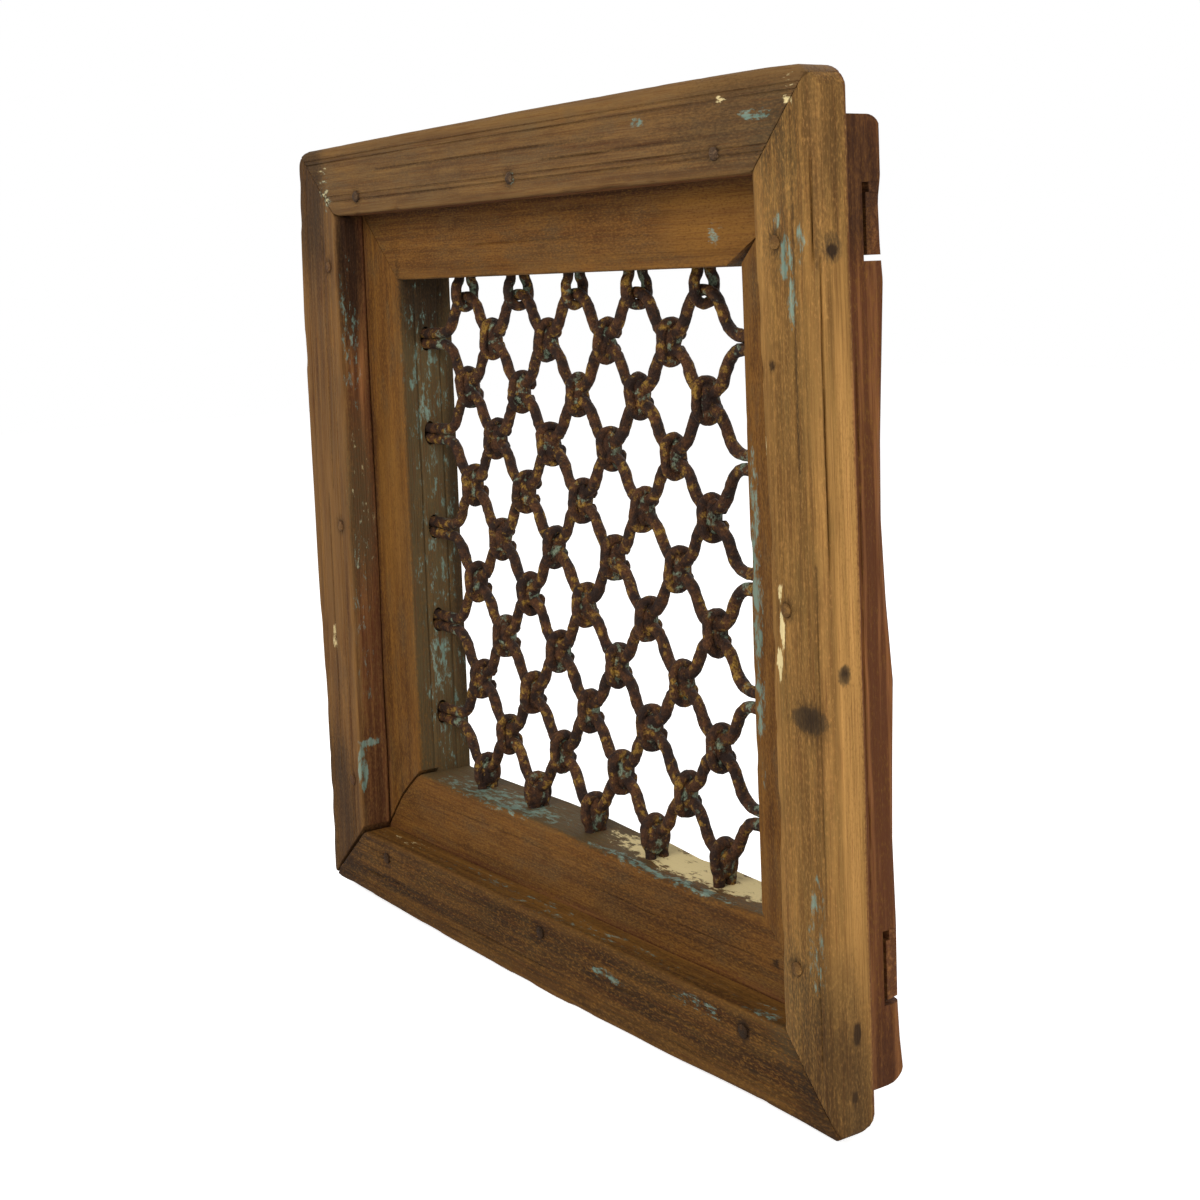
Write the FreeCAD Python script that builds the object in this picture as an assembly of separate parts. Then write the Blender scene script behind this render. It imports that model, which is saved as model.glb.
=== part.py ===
import FreeCAD, Part
import math
import os

# A fixed jali window: a deep wooden box frame with a mitred architrave nailed to its front, and a
# lattice of wavy iron rods held by iron rings, eye pins and holes in the jambs.
# Millimetres. +X is to the right and +Y to the back, seen from the front; +Z is up.
# The origin is below the middle of the whole width, level with the bottom edge of the architrave.

V = FreeCAD.Vector

# Opening and architrave boards
opening_width = 438.0        # clear width between the jambs
opening_height = 399.0       # clear height between the sill and the head
ledge_width = 53.0           # bare band of the box frame's front inside the boards
board_lap = 24.0             # width of each board that lies on the box frame
left_board_width = 66.0
right_board_width = 50.0
top_board_width = 61.0
bottom_board_width = 58.0
board_thickness = 27.0
board_outer_round = 9.0      # worn round of a board's outer front arris
board_inner_round = 2.5      # worn round of a board's inner front arris
inner_reed_inset = 12.0      # from a board's inner edge to the first scratched line
outer_reed_inset = 3.0       # from the outer round to the scratched line beside it
reed_width = 4.0             # bead left between two scratched lines, from middle to middle
scratch_width = 1.8
scratch_depth = 1.0

# Box frame
box_depth = 48.0
mitre_depth = 18.0           # front part of each corner that is mitred
top_horn = 9.0               # length of a jamb above the head
bottom_horn = 20.0           # length of a jamb below the sill
horn_round = 20.0            # worn lower rear corner of each jamb

# Wedged through tenons, flush with the back of the frame
tenon_thickness = 11.0
tenon_front_gap = 3.0        # open groove in the jamb in front of each tenon
tenon_height = 36.0
head_tenon_inset = 4.0       # from the opening to the head's tenon
sill_tenon_inset = 8.0       # from the opening to the sill's tenon
tenon_gap = 3.5              # open gap left under each tenon
wedge_thick_end = 7.0
wedge_thin_end = 5.0

# Nails of the architrave
nail_shank = 3.5
nail_length = 50.0
nail_head_width = 9.0
nail_crown_width = 4.0       # flat top of a head
nail_head_height = 2.0       # of a head above its board
nail_inset = 14.0            # from a board's inner edge
nail_corner_inset = 40.0     # along a board, from its inner corner to the first nail
nails_per_board = 3

# Lattice rods
rod_count = 10
eyes_per_rail = 5
rod_width = 8.2              # diameter
rod_straight = 9.2           # straight run between two bends of a rod
rod_lead = 29.0              # straight run between a jamb and the first bend
rod_insert = 32.0            # length of a rod's end inside a jamb
rod_stack_gap = 1.0          # space between the two rods in a ring or a jamb hole
grille_setback = 24.0        # from the ledge to the middle plane of the lattice

# Rings that tie the rods, and eye pins that tie the lattice to the head and the sill
link_width = 7.0             # diameter of the rod that rings and eyes are bent from
link_side_room = 0.3         # between a lattice rod and each side of its ring
link_end_room = 0.8          # between a lattice rod and the end of its ring
ring_seam = 4.0              # gap between the two ends of a ring
eye_reach = 9.5              # from the head or sill to the nearest level of the lattice
eye_bend = 8.0               # bend radius where an eye draws in to its legs
eye_leg = 38.0               # length of an eye's legs inside the wood
eye_leg_gap = 0.4            # between the two legs of an eye

# Fit of the iron in the wood
hole_room = 0.15             # around iron in its hole
hole_end_room = 1.0          # beyond the end of iron in its hole

# Planes of the frame, worked out from the sizes above
front_y = nail_head_height - (nail_head_height + board_thickness + box_depth) / 2
ledge_y = front_y + board_thickness
mitre_y = ledge_y + mitre_depth
rear_y = ledge_y + box_depth
grille_y = ledge_y + grille_setback
tenon_y = rear_y - tenon_thickness
slot_y = tenon_y - tenon_front_gap
jamb_inner_x = opening_width / 2
board_inner_x = jamb_inner_x + ledge_width
board_left_x = -board_inner_x - left_board_width
board_right_x = board_inner_x + right_board_width
jamb_outer_x = board_inner_x + board_lap
sill_z = bottom_board_width + ledge_width
head_z = sill_z + opening_height
board_bottom_z = bottom_board_width
board_top_z = head_z + ledge_width
overall_height = board_top_z + top_board_width
sill_under_z = board_bottom_z - board_lap
head_top_z = board_top_z + board_lap

# Levels and columns of the lattice: a knot at every second crossing
level_step = (opening_height - 2 * eye_reach) / rod_count
column_count = 2 * eyes_per_rail
column_step = (opening_width - 2 * rod_lead) / column_count
stack_half = (rod_width + rod_stack_gap) / 2
wave_height = level_step - 2 * stack_half
# Bend radius on the middle line of a rod, so that two bends and the straight run fit in one step
rod_bend = (column_step ** 2 + wave_height ** 2 - rod_straight ** 2) / (4 * wave_height)
link_half_width = rod_width / 2 + link_side_room + link_width / 2
link_straight = stack_half + link_end_room - link_side_room


def level_z(level):
    """Height of a lattice level, counted down from the head."""
    return head_z - eye_reach - level * level_step


def column_x(column):
    """Place across the window of a lattice column, counted from the left."""
    return -jamb_inner_x + rod_lead + column * column_step


def box(x0, x1, y0, y1, z0, z1):
    """Block between two corners."""
    return Part.makeBox(x1 - x0, y1 - y0, z1 - z0, V(x0, y0, z0))


def prism(points, run):
    """Straight solid on a closed outline of points."""
    return Part.Face(Part.makePolygon(points + [points[0]])).extrude(run)


def plate(outline, y0, y1):
    """Solid between two depths on an outline given across and up."""
    return prism([V(x, y0, z) for x, z in outline], V(0, y1 - y0, 0))


def round_bar(path, width):
    """Round iron of one width along a path of lines and arcs."""
    wire = Part.Wire(path)
    first = path[0]
    start = first.valueAt(first.FirstParameter)
    along = first.tangentAt(first.FirstParameter)
    section = Part.Wire(Part.Circle(start, along, width / 2).toShape())
    return wire.makePipeShell([section], True, False)


def line(a, b):
    """Straight stretch of a path."""
    return Part.LineSegment(a, b).toShape()


def arc(a, middle, b):
    """Round stretch of a path."""
    return Part.Arc(a, middle, b).toShape()


def slot_hole(middle, across, along, half_run, half_width):
    """Round-ended hole: its middle, the direction it is long in, and its depth as a vector."""
    side = across.cross(along).normalize() * half_width
    far = across * half_run
    cap = across * half_width
    edges = [
        line(middle - far + side, middle + far + side),
        arc(middle + far + side, middle + far + cap, middle + far - side),
        line(middle + far - side, middle - far - side),
        arc(middle - far - side, middle - far - cap, middle - far + side),
    ]
    return Part.Face(Part.Wire(edges)).extrude(along)


# Corners of the architrave and of the box frame's front, left bottom first and then round to the right
OUTER = [(board_left_x, 0.0), (board_right_x, 0.0),
         (board_right_x, overall_height), (board_left_x, overall_height)]
INNER = [(-board_inner_x, board_bottom_z), (board_inner_x, board_bottom_z),
         (board_inner_x, board_top_z), (-board_inner_x, board_top_z)]
BOX = [(-jamb_outer_x, sill_under_z), (jamb_outer_x, sill_under_z),
       (jamb_outer_x, head_top_z), (-jamb_outer_x, head_top_z)]
OPENING = [(-jamb_inner_x, sill_z), (jamb_inner_x, sill_z),
           (jamb_inner_x, head_z), (-jamb_inner_x, head_z)]
SIDES = ("bottom", "right", "top", "left")
BOARD_WIDTH = {"bottom": bottom_board_width, "right": right_board_width,
               "top": top_board_width, "left": left_board_width}
OUTWARD = {"bottom": V(0, 0, -1), "right": V(1, 0, 0), "top": V(0, 0, 1), "left": V(-1, 0, 0)}


def mitred(side, outer, inner, y0, y1):
    """Four-sided plate of one side of a frame, mitred from its inner to its outer corners."""
    a = SIDES.index(side)
    b = (a + 1) % 4
    return plate([outer[a], outer[b], inner[b], inner[a]], y0, y1)


def board_section(side):
    """Cross section of a board: round outer arris, small inner arris and two scratched beads."""
    width = BOARD_WIDTH[side]
    corner = SIDES.index(side)
    start = V(OUTER[corner][0], 0, OUTER[corner][1]) - OUTWARD[side] * width

    def at(across, depth):
        return start + OUTWARD[side] * across + V(0, front_y + depth, 0)

    half_scratch = scratch_width / 2
    inner_line = inner_reed_inset
    outer_line = width - board_outer_round - outer_reed_inset
    edges = []
    here = at(board_inner_round, 0)
    for middle in (inner_line, inner_line + reed_width, outer_line - reed_width, outer_line):
        edges.append(line(here, at(middle - half_scratch, 0)))
        edges.append(line(at(middle - half_scratch, 0), at(middle, scratch_depth)))
        edges.append(line(at(middle, scratch_depth), at(middle + half_scratch, 0)))
        here = at(middle + half_scratch, 0)
    bend = math.sqrt(0.5)
    r = board_outer_round
    edges.append(line(here, at(width - r, 0)))
    edges.append(arc(at(width - r, 0), at(width - r + r * bend, r - r * bend), at(width, r)))
    edges.append(line(at(width, r), at(width, board_thickness)))
    edges.append(line(at(width, board_thickness), at(0, board_thickness)))
    r = board_inner_round
    edges.append(line(at(0, board_thickness), at(0, r)))
    edges.append(arc(at(0, r), at(r - r * bend, r - r * bend), at(r, 0)))
    return Part.Face(Part.Wire(edges))


def nail_places(side):
    """Middle of each nail's head on one board."""
    a = SIDES.index(side)
    b = (a + 1) % 4
    first = V(INNER[a][0], front_y, INNER[a][1])
    last = V(INNER[b][0], front_y, INNER[b][1])
    along = (last - first).normalize()
    first = first + along * nail_corner_inset + OUTWARD[side] * nail_inset
    last = last - along * nail_corner_inset + OUTWARD[side] * nail_inset
    return [first + (last - first) * (i / (nails_per_board - 1)) for i in range(nails_per_board)]


def nails(side):
    """Nails of one board, low heads standing on its face, shanks driven into the box frame."""
    solids = []
    for place in nail_places(side):
        head = Part.makeCone(nail_head_width / 2, nail_crown_width / 2, nail_head_height, place, V(0, -1, 0))
        shank = Part.makeCylinder(nail_shank / 2, nail_length, place, V(0, 1, 0))
        solids.append(head.fuse(shank).removeSplitter())
    return Part.makeCompound(solids)


def board(side):
    """One architrave board, mitred at both ends and bored for its nails."""
    a = SIDES.index(side)
    b = (a + 1) % 4
    run = V(OUTER[b][0] - OUTER[a][0], 0, OUTER[b][1] - OUTER[a][1])
    bar = board_section(side).extrude(run)
    return bar.common(mitred(side, OUTER, INNER, front_y, rear_y)).cut(nails(side))


def tenon_span(rail):
    """Lower and upper height of a rail's tenons."""
    if rail == "head":
        low = head_z + head_tenon_inset
    else:
        low = sill_z - sill_tenon_inset - tenon_height
    return low, low + tenon_height


def eye_holes(rail):
    """Holes in a rail for the legs of its eye pins."""
    face_z = head_z if rail == "head" else sill_z
    into = V(0, 0, eye_leg + hole_end_room)
    if rail == "sill":
        into = into * -1
    leg_half = (link_width + eye_leg_gap) / 2
    holes = []
    for i in range(eyes_per_rail):
        middle = V(column_x(2 * i + 1), grille_y, face_z)
        holes.append(slot_hole(middle, V(0, 1, 0), into, leg_half, link_width / 2 + hole_room))
    return holes


def rail(name):
    """Head or sill: mitred front, square rear between the jambs, and a tenon at each end."""
    side = "top" if name == "head" else "bottom"
    low, high = (head_z, head_top_z) if name == "head" else (sill_under_z, sill_z)
    tenon_low, tenon_high = tenon_span(name)
    front = mitred(side, BOX, OPENING, ledge_y, mitre_y)
    rear = box(-jamb_inner_x, jamb_inner_x, mitre_y, rear_y, low, high)
    tenons = box(-jamb_outer_x, jamb_outer_x, tenon_y, rear_y, tenon_low, tenon_high)
    solid = front.fuse([rear, tenons]).removeSplitter()
    return solid.cut(eye_holes(name) + [nails(side)])


def wedge_outline(name, sign):
    """Outline, across and up, of the wedge over a rail's tenon at the left (-1) or right (1) jamb."""
    top = tenon_span(name)[1]
    inner_x = sign * jamb_inner_x
    outer_x = sign * jamb_outer_x
    return [(inner_x, top), (outer_x, top), (outer_x, top + wedge_thick_end), (inner_x, top + wedge_thin_end)]


def wedge(name, sign):
    """Wedge driven in over a tenon from outside."""
    return plate(wedge_outline(name, sign), tenon_y, rear_y)


def tenon_slot(name, sign):
    """Slot in a jamb, open at the back, for a tenon, its wedge and the gap under it."""
    low = tenon_span(name)[0] - tenon_gap
    inner, outer, outer_top, inner_top = wedge_outline(name, sign)
    return plate([(inner[0], low), (outer[0], low), outer_top, inner_top], slot_y, rear_y)


def rod_holes(sign):
    """Holes in a jamb, each for the ends of two rods, one above the other."""
    holes = []
    into = V(sign * (rod_insert + hole_end_room), 0, 0)
    for level in range(1, rod_count, 2):
        middle = V(sign * jamb_inner_x, grille_y, level_z(level))
        holes.append(slot_hole(middle, V(0, 0, 1), into, stack_half, rod_width / 2 + hole_room))
    return holes


def jamb(sign):
    """Upright of the box frame: horns past the rails, mitred front corners, slots and rod holes."""
    side = "right" if sign > 0 else "left"
    low = sill_under_z - bottom_horn
    high = head_top_z + top_horn
    x = sign * jamb_inner_x
    bend = horn_round * (1 - math.sqrt(0.5))
    edges = [
        line(V(x, ledge_y, low), V(x, ledge_y, high)),
        line(V(x, ledge_y, high), V(x, rear_y, high)),
        line(V(x, rear_y, high), V(x, rear_y, low + horn_round)),
        arc(V(x, rear_y, low + horn_round), V(x, rear_y - bend, low + bend), V(x, rear_y - horn_round, low)),
        line(V(x, rear_y - horn_round, low), V(x, ledge_y, low)),
    ]
    upright = Part.Face(Part.Wire(edges)).extrude(V(sign * jamb_outer_x - x, 0, 0))
    corners = [mitred(rail_side, BOX, OPENING, ledge_y, mitre_y) for rail_side in ("top", "bottom")]
    slots = [tenon_slot("head", sign), tenon_slot("sill", sign)]
    nail_holes = [nails(driven) for driven in (side, "top", "bottom")]
    return upright.cut(corners + slots + rod_holes(sign) + nail_holes)


def wavy_rod(index):
    """One lattice rod, from its end in the left jamb to its end in the right jamb.

    It waves between the level above it and the level below it, and runs level into the jambs on
    whichever of the two is odd.
    """
    crest_z = level_z(index) - stack_half
    trough_z = crest_z - wave_height
    rise = wave_height - 2 * rod_bend
    slope = math.atan2(rise, column_step) + math.asin(2 * rod_bend / math.hypot(rise, column_step))

    def on_bend(column, angle):
        # Point on the bend at a column: angle 0 is its middle, and a positive one is to the right.
        up = 1 if (index + column) % 2 == 1 else -1
        middle_z = crest_z - rod_bend if up > 0 else trough_z + rod_bend
        return V(column_x(column) + rod_bend * math.sin(angle), grille_y,
                 middle_z + up * rod_bend * math.cos(angle))

    last = column_count
    left = on_bend(0, 0)
    right = on_bend(last, 0)
    path = [line(left - V(rod_lead + rod_insert, 0, 0), left)]
    path.append(arc(left, on_bend(0, slope / 2), on_bend(0, slope)))
    for column in range(1, last):
        path.append(line(on_bend(column - 1, slope), on_bend(column, -slope)))
        path.append(arc(on_bend(column, -slope), on_bend(column, 0), on_bend(column, slope)))
    path.append(line(on_bend(last - 1, slope), on_bend(last, -slope)))
    path.append(arc(on_bend(last, -slope), on_bend(last, -slope / 2), right))
    path.append(line(right, right + V(rod_lead + rod_insert, 0, 0)))
    return round_bar(path, rod_width)


def ring(column, level):
    """Oval ring standing square to the lattice, bent shut from the front with its ends at the back."""
    middle = V(column_x(column), grille_y, level_z(level))

    def at(y, z):
        return middle + V(0, y, z)

    a = link_half_width
    s = link_straight
    path = [
        line(at(a, ring_seam / 2), at(a, s)),
        arc(at(a, s), at(0, s + a), at(-a, s)),
        line(at(-a, s), at(-a, -s)),
        arc(at(-a, -s), at(0, -s - a), at(a, -s)),
        line(at(a, -s), at(a, -ring_seam / 2)),
    ]
    return round_bar(path, link_width)


def ring_row(level):
    """All the rings of one level: on even columns at odd levels, and on odd columns at even levels."""
    first = 2 if level % 2 == 1 else 1
    return Part.makeCompound([ring(column, level) for column in range(first, column_count, 2)])


def eye(name, number):
    """Eye pin: a loop round the rod's bend, drawn in to two legs that are driven into the rail."""
    up = 1 if name == "head" else -1
    face_z = head_z if name == "head" else sill_z
    middle = V(column_x(2 * number - 1), grille_y, face_z)

    def at(y, below):
        return middle - V(0, -y, up * below)

    a = link_half_width
    leg = (link_width + eye_leg_gap) / 2
    shift = a - leg
    turn = math.acos(1 - shift / (2 * eye_bend))
    draw = 2 * eye_bend * math.sin(turn)
    near = eye_bend * (1 - math.cos(turn / 2))
    short = eye_bend * math.sin(turn / 2)
    side = eye_reach + link_straight
    path = [
        line(at(-leg, -eye_leg), at(-leg, 0)),
        arc(at(-leg, 0), at(-leg - near, short), at(-leg - shift / 2, draw / 2)),
        arc(at(-leg - shift / 2, draw / 2), at(-a + near, draw - short), at(-a, draw)),
        line(at(-a, draw), at(-a, side)),
        arc(at(-a, side), at(0, side + a), at(a, side)),
        line(at(a, side), at(a, draw)),
        arc(at(a, draw), at(a - near, draw - short), at(leg + shift / 2, draw / 2)),
        arc(at(leg + shift / 2, draw / 2), at(leg + near, short), at(leg, 0)),
        line(at(leg, 0), at(leg, -eye_leg)),
    ]
    return round_bar(path, link_width)


nodes = {
    "head": rail("head"),
    "sill": rail("sill"),
    "jamb_left": jamb(-1),
    "jamb_right": jamb(1),
}
for name in ("head", "sill"):
    nodes[f"{name}_wedge_left"] = wedge(name, -1)
    nodes[f"{name}_wedge_right"] = wedge(name, 1)
    for number in range(1, eyes_per_rail + 1):
        nodes[f"{name}_eye_{number}"] = eye(name, number)
for side in SIDES:
    nodes[f"architrave_{side}"] = board(side)
    nodes[f"architrave_nails_{side}"] = nails(side)
for index in range(rod_count):
    nodes[f"wavy_rod_{index + 1:02d}"] = wavy_rod(index)
for level in range(1, rod_count):
    nodes[f"ring_row_{level}"] = ring_row(level)

# The pieces are drawn about the middle of the opening, which is not the middle of the whole width
to_middle = V(-(board_left_x + board_right_x) / 2, 0, 0)
os.makedirs("parts", exist_ok=True)
for name, shape in nodes.items():
    shape.translated(to_middle).exportStep(f"parts/{name}.step")
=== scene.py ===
"""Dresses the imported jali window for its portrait.

The worn teak architrave and box frame and the forged iron lattice are rebuilt as detailed meshes in the
place of their plain solids, and a pale studio is set up around them. Lengths are metres in the frame of the
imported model: +X to the right, +Y to the back and +Z up. Sizes written times MM are millimetres.
"""

import itertools
import logging
import math
from dataclasses import dataclass, field
from enum import Enum, IntEnum, StrEnum
from typing import Dict, List, Sequence, Tuple, Union

import bmesh
import bpy
import numpy as np
from mathutils import Matrix, Vector


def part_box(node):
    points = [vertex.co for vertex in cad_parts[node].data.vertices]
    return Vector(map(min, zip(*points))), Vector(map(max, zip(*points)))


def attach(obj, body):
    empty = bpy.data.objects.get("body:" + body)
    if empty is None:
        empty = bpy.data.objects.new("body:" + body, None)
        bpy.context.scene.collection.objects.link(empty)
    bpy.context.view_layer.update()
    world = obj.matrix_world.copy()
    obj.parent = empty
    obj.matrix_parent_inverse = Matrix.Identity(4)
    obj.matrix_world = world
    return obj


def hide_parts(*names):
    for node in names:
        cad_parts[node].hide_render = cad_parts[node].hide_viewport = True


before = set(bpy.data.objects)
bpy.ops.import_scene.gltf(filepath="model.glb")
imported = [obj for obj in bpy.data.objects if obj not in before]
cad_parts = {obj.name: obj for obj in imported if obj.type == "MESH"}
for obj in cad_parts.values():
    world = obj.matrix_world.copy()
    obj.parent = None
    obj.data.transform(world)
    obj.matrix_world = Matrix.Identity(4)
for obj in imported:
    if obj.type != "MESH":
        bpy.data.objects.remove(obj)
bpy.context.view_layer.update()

MM = 0.001
BODY = "root"
NAIL_HEAD = 9 * MM
# Edges that turn by more than this stay sharp
WOOD_CREASE_DEG = 38
IRON_CREASE_DEG = 60
NAIL_CREASE_DEG = 50
# Blender's noise stays mostly between these values, which the finishes stretch to 0 and 1
NOISE_LOW, NOISE_HIGH = 0.28, 0.72
# Primes that scatter the cells of the noise
CELL_PRIMES = (374761393, 668265263, 1440662683)
SEED_FACTOR, MIX_FACTOR = 144665, 1274126177
TINY = 1e-9
log = logging.getLogger("jali_window")

Array = np.ndarray
Pair = Tuple[float, float]
Triple = Tuple[float, float, float]
Pairs = Sequence[Pair]
Shell = Tuple[Array, List[Sequence[int]]]
Piece = bpy.types.Object
Mesh = bpy.types.Mesh
Material = bpy.types.Material
Tree = bpy.types.NodeTree
Node = bpy.types.Node
Socket = bpy.types.NodeSocket


class Stain(Enum):
    """What lies on the wood or has worn it, and painted shade and light: each is a vertex value the wood's finish
    reads.
    """

    # Wear, and painted light and a painted highlight in the wear colour
    WORN = "worn"
    SHELTERED = "sheltered"
    DUSTY = "dusty"
    KNOT = "knot"
    # Dirt, and painted shade in corners in the dirt colour
    GRIME = "grime"
    TURQUOISE = "turquoise"
    CREAM = "cream"


class Run(Enum):
    """The world axis that a timber's grain runs along."""

    LEVEL = 0
    UPRIGHT = 2


class Side(StrEnum):
    """Side of the window that a board is nailed on."""

    BOTTOM = "bottom"
    RIGHT = "right"
    TOP = "top"
    LEFT = "left"


class Rail(StrEnum):
    """The level timbers of the box frame."""

    HEAD = "head"
    SILL = "sill"

    @property
    def up(self) -> int:
        """Which way the rail lies from the opening, 1 for up."""
        return 1 if self is Rail.HEAD else -1


class End(Enum):
    """The two ends of a rail, and the sides of the window that they stand on; the value points outward."""

    LEFT = -1
    RIGHT = 1

    def of(self, pair: Pair) -> float:
        """The plane of this end, out of the left and the right one."""
        return pair[0] if self is End.LEFT else pair[1]


class Salt(IntEnum):
    """Shifts of a timber's seed, which keep its noises apart; its four arrises take the first ones."""

    BROAD = 11
    RIDGE = 12
    CHIP = 13
    SCRATCH = 20
    CRACK = 40


def linear(hex_code: str) -> Tuple[float, float, float, float]:
    """Turns an sRGB hex colour into the linear colour that shaders take.

    Args:
        hex_code: six hex digits, with or without a leading mark.

    Returns:
        Linear red, green and blue, with an alpha of 1.
    """
    digits = hex_code.lstrip("#")
    srgb = [int(digits[i:i + 2], 16) / 255 for i in (0, 2, 4)]
    channels = [c / 12.92 if c <= 0.04045 else ((c + 0.055) / 1.055) ** 2.4 for c in srgb]
    return (*channels, 1.0)


def lattice_random(cells: Array, seed: int) -> Array:
    """Gives each whole-numbered cell its own number from 0 to 1.

    Args:
        cells: whole numbers, three to a cell on the last axis.
        seed: picks one of many patterns.

    Returns:
        One number for each cell.
    """
    mixed = seed * SEED_FACTOR
    for axis, prime in enumerate(CELL_PRIMES):
        mixed = mixed + cells[..., axis] * prime
    mixed = (mixed ^ (mixed >> 13)) * MIX_FACTOR
    return ((mixed ^ (mixed >> 16)) & 0xFFFF) / 0xFFFF


def soft_noise(points: Array, seed: int) -> Array:
    """Smooth noise from -1 to 1.

    Args:
        points: places on the last axis, measured in cells of the noise.
        seed: picks one of many patterns.

    Returns:
        One number for each place.
    """
    base = np.floor(points).astype(np.int64)
    part = points - base
    share = part * part * (3 - 2 * part)
    total = np.zeros(points.shape[:-1])
    for corner in itertools.product((0, 1), repeat=3):
        step = np.array(corner)
        weight = np.prod(np.where(step == 1, share, 1 - share), axis=-1)
        total += weight * lattice_random(base + step, seed)
    return 2 * total - 1


def faded(distance: Array, reach: float) -> Array:
    """Share that is left at a distance: all at none, about a third at the reach, and soon nothing."""
    return np.exp(-(distance / reach) ** 2)


def ramp(value: Array, start: float, stop: float) -> Array:
    """Share that grows from 0 at the start to 1 at the stop, and is held beyond them."""
    return np.clip((value - start) / (stop - start), 0, 1)


def spaced(length: float, coarse: float, fine: float, band: float) -> Array:
    """Places along a length, close together near both ends.

    Args:
        length: the whole length.
        coarse: spacing in the middle.
        fine: spacing within the band at each end.
        band: length of each fine end.

    Returns:
        Places from 0 to the length.
    """
    near = np.linspace(0, band, max(2, round(band / fine) + 1))
    middle = np.linspace(band, length - band, max(2, round((length - 2 * band) / coarse) + 1))
    return np.concatenate([near, middle[1:-1], length - near[::-1]])


def eased(first: Array, second: Array, radius: Array) -> Tuple[Array, Array]:
    """Moves the points of a square corner onto a round.

    Args:
        first: distances inward from one side of the corner.
        second: distances inward from the other side.
        radius: radius of the round at each point.

    Returns:
        The two distances after rounding.
    """
    out_first = np.maximum(radius - first, 0)
    out_second = np.maximum(radius - second, 0)
    length = np.hypot(out_first, out_second)
    excess = 1 - np.minimum(1, radius / np.maximum(length, TINY))
    return first + out_first * excess, second + out_second * excess


def new_piece(name: str, points: Array, faces: List[Sequence[int]],
              crease_deg: float = WOOD_CREASE_DEG) -> Piece:
    """Makes a mesh object, smooth but for its sharp edges.

    Args:
        name: name of the object.
        points: places of the vertices.
        faces: vertex numbers of each face.
        crease_deg: edges that turn by more than this stay sharp.

    Returns:
        The object, linked to the scene.
    """
    mesh = bpy.data.meshes.new(name)
    mesh.from_pydata(points.tolist(), [], faces)
    mesh.validate()
    finish_shading(mesh, crease_deg)
    piece = bpy.data.objects.new(name, mesh)
    bpy.context.scene.collection.objects.link(piece)
    return piece


def finish_shading(mesh: Mesh, crease_deg: float) -> None:
    """Shades a mesh smooth, with edges sharp past an angle.

    Args:
        mesh: the mesh to shade.
        crease_deg: edges that turn by more than this stay sharp.
    """
    mesh.polygons.foreach_set("use_smooth", np.ones(len(mesh.polygons), bool))
    mesh.set_sharp_from_angle(angle=math.radians(crease_deg))
    mesh.update()


def tube_faces(stations: int, sides: int) -> List[Sequence[int]]:
    """Faces of a capped tube whose vertices run station by station.

    Args:
        stations: number of rings of vertices.
        sides: vertices in each ring.

    Returns:
        Vertex numbers of each face.
    """
    faces: List[Sequence[int]] = []
    last = (stations - 1) * sides
    for low in range(0, last, sides):
        high = low + sides
        for j in range(sides):
            k = (j + 1) % sides
            faces.append((low + j, low + k, high + k, high + j))
    faces.append(list(range(sides - 1, -1, -1)))
    faces.append(list(range(last, last + sides)))
    return faces


def three_each(rows: Sequence, label: str) -> Array:
    """Reads three numbers from each row of a mesh's data, such as places or normals.

    Args:
        rows: the mesh's rows.
        label: what is read from each.

    Returns:
        One row of three numbers each.
    """
    flat = np.zeros(len(rows) * 3, np.float32)
    rows.foreach_get(label, flat)
    return flat.reshape(-1, 3).astype(float)


def vertex_places(mesh: Mesh) -> Array:
    """Places of a mesh's vertices, one row each."""
    return three_each(mesh.vertices, "co")


def move_vertices(mesh: Mesh, points: Array) -> None:
    """Puts a mesh's vertices in new places."""
    mesh.vertices.foreach_set("co", points.astype(np.float32).ravel())
    mesh.update()


def set_values(mesh: Mesh, label: str, values: Array) -> None:
    """Gives each vertex a number, under the name that the finish reads it by."""
    layer = mesh.attributes.new(label, "FLOAT", "POINT")
    layer.data.foreach_set("value", values.astype(np.float32))


def outward_faces(mesh: Mesh) -> None:
    """Turns the faces of closed shells to look outward.

    Args:
        mesh: the mesh, changed in place.
    """
    work = bmesh.new()
    work.from_mesh(mesh)
    bmesh.ops.recalc_face_normals(work, faces=work.faces)
    work.to_mesh(mesh)
    work.free()


def joined(shells: Sequence[Shell]) -> Shell:
    """Several shells as one set of points and faces.

    Args:
        shells: points and faces of each shell.

    Returns:
        All their points and faces.
    """
    faces: List[Sequence[int]] = []
    base = 0
    for points, shell_faces in shells:
        faces += [[base + number for number in face] for face in shell_faces]
        base += len(points)
    return np.concatenate([points for points, _ in shells]), faces


def prism(outline: Pairs, axis: int, ends: Pair) -> Shell:
    """Prism for cutting a joint.

    Args:
        outline: corners on the two other axes, in the order of the axes.
        axis: world axis that the prism runs along.
        ends: where it starts and stops, in either order.

    Returns:
        Points and faces.
    """
    count = len(outline)
    points = np.zeros((2 * count, 3))
    points[:, [i for i in range(3) if i != axis]] = np.tile(np.array(outline), (2, 1))
    points[:, axis] = np.repeat(sorted(ends), count)
    return points, tube_faces(2, count)


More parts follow.
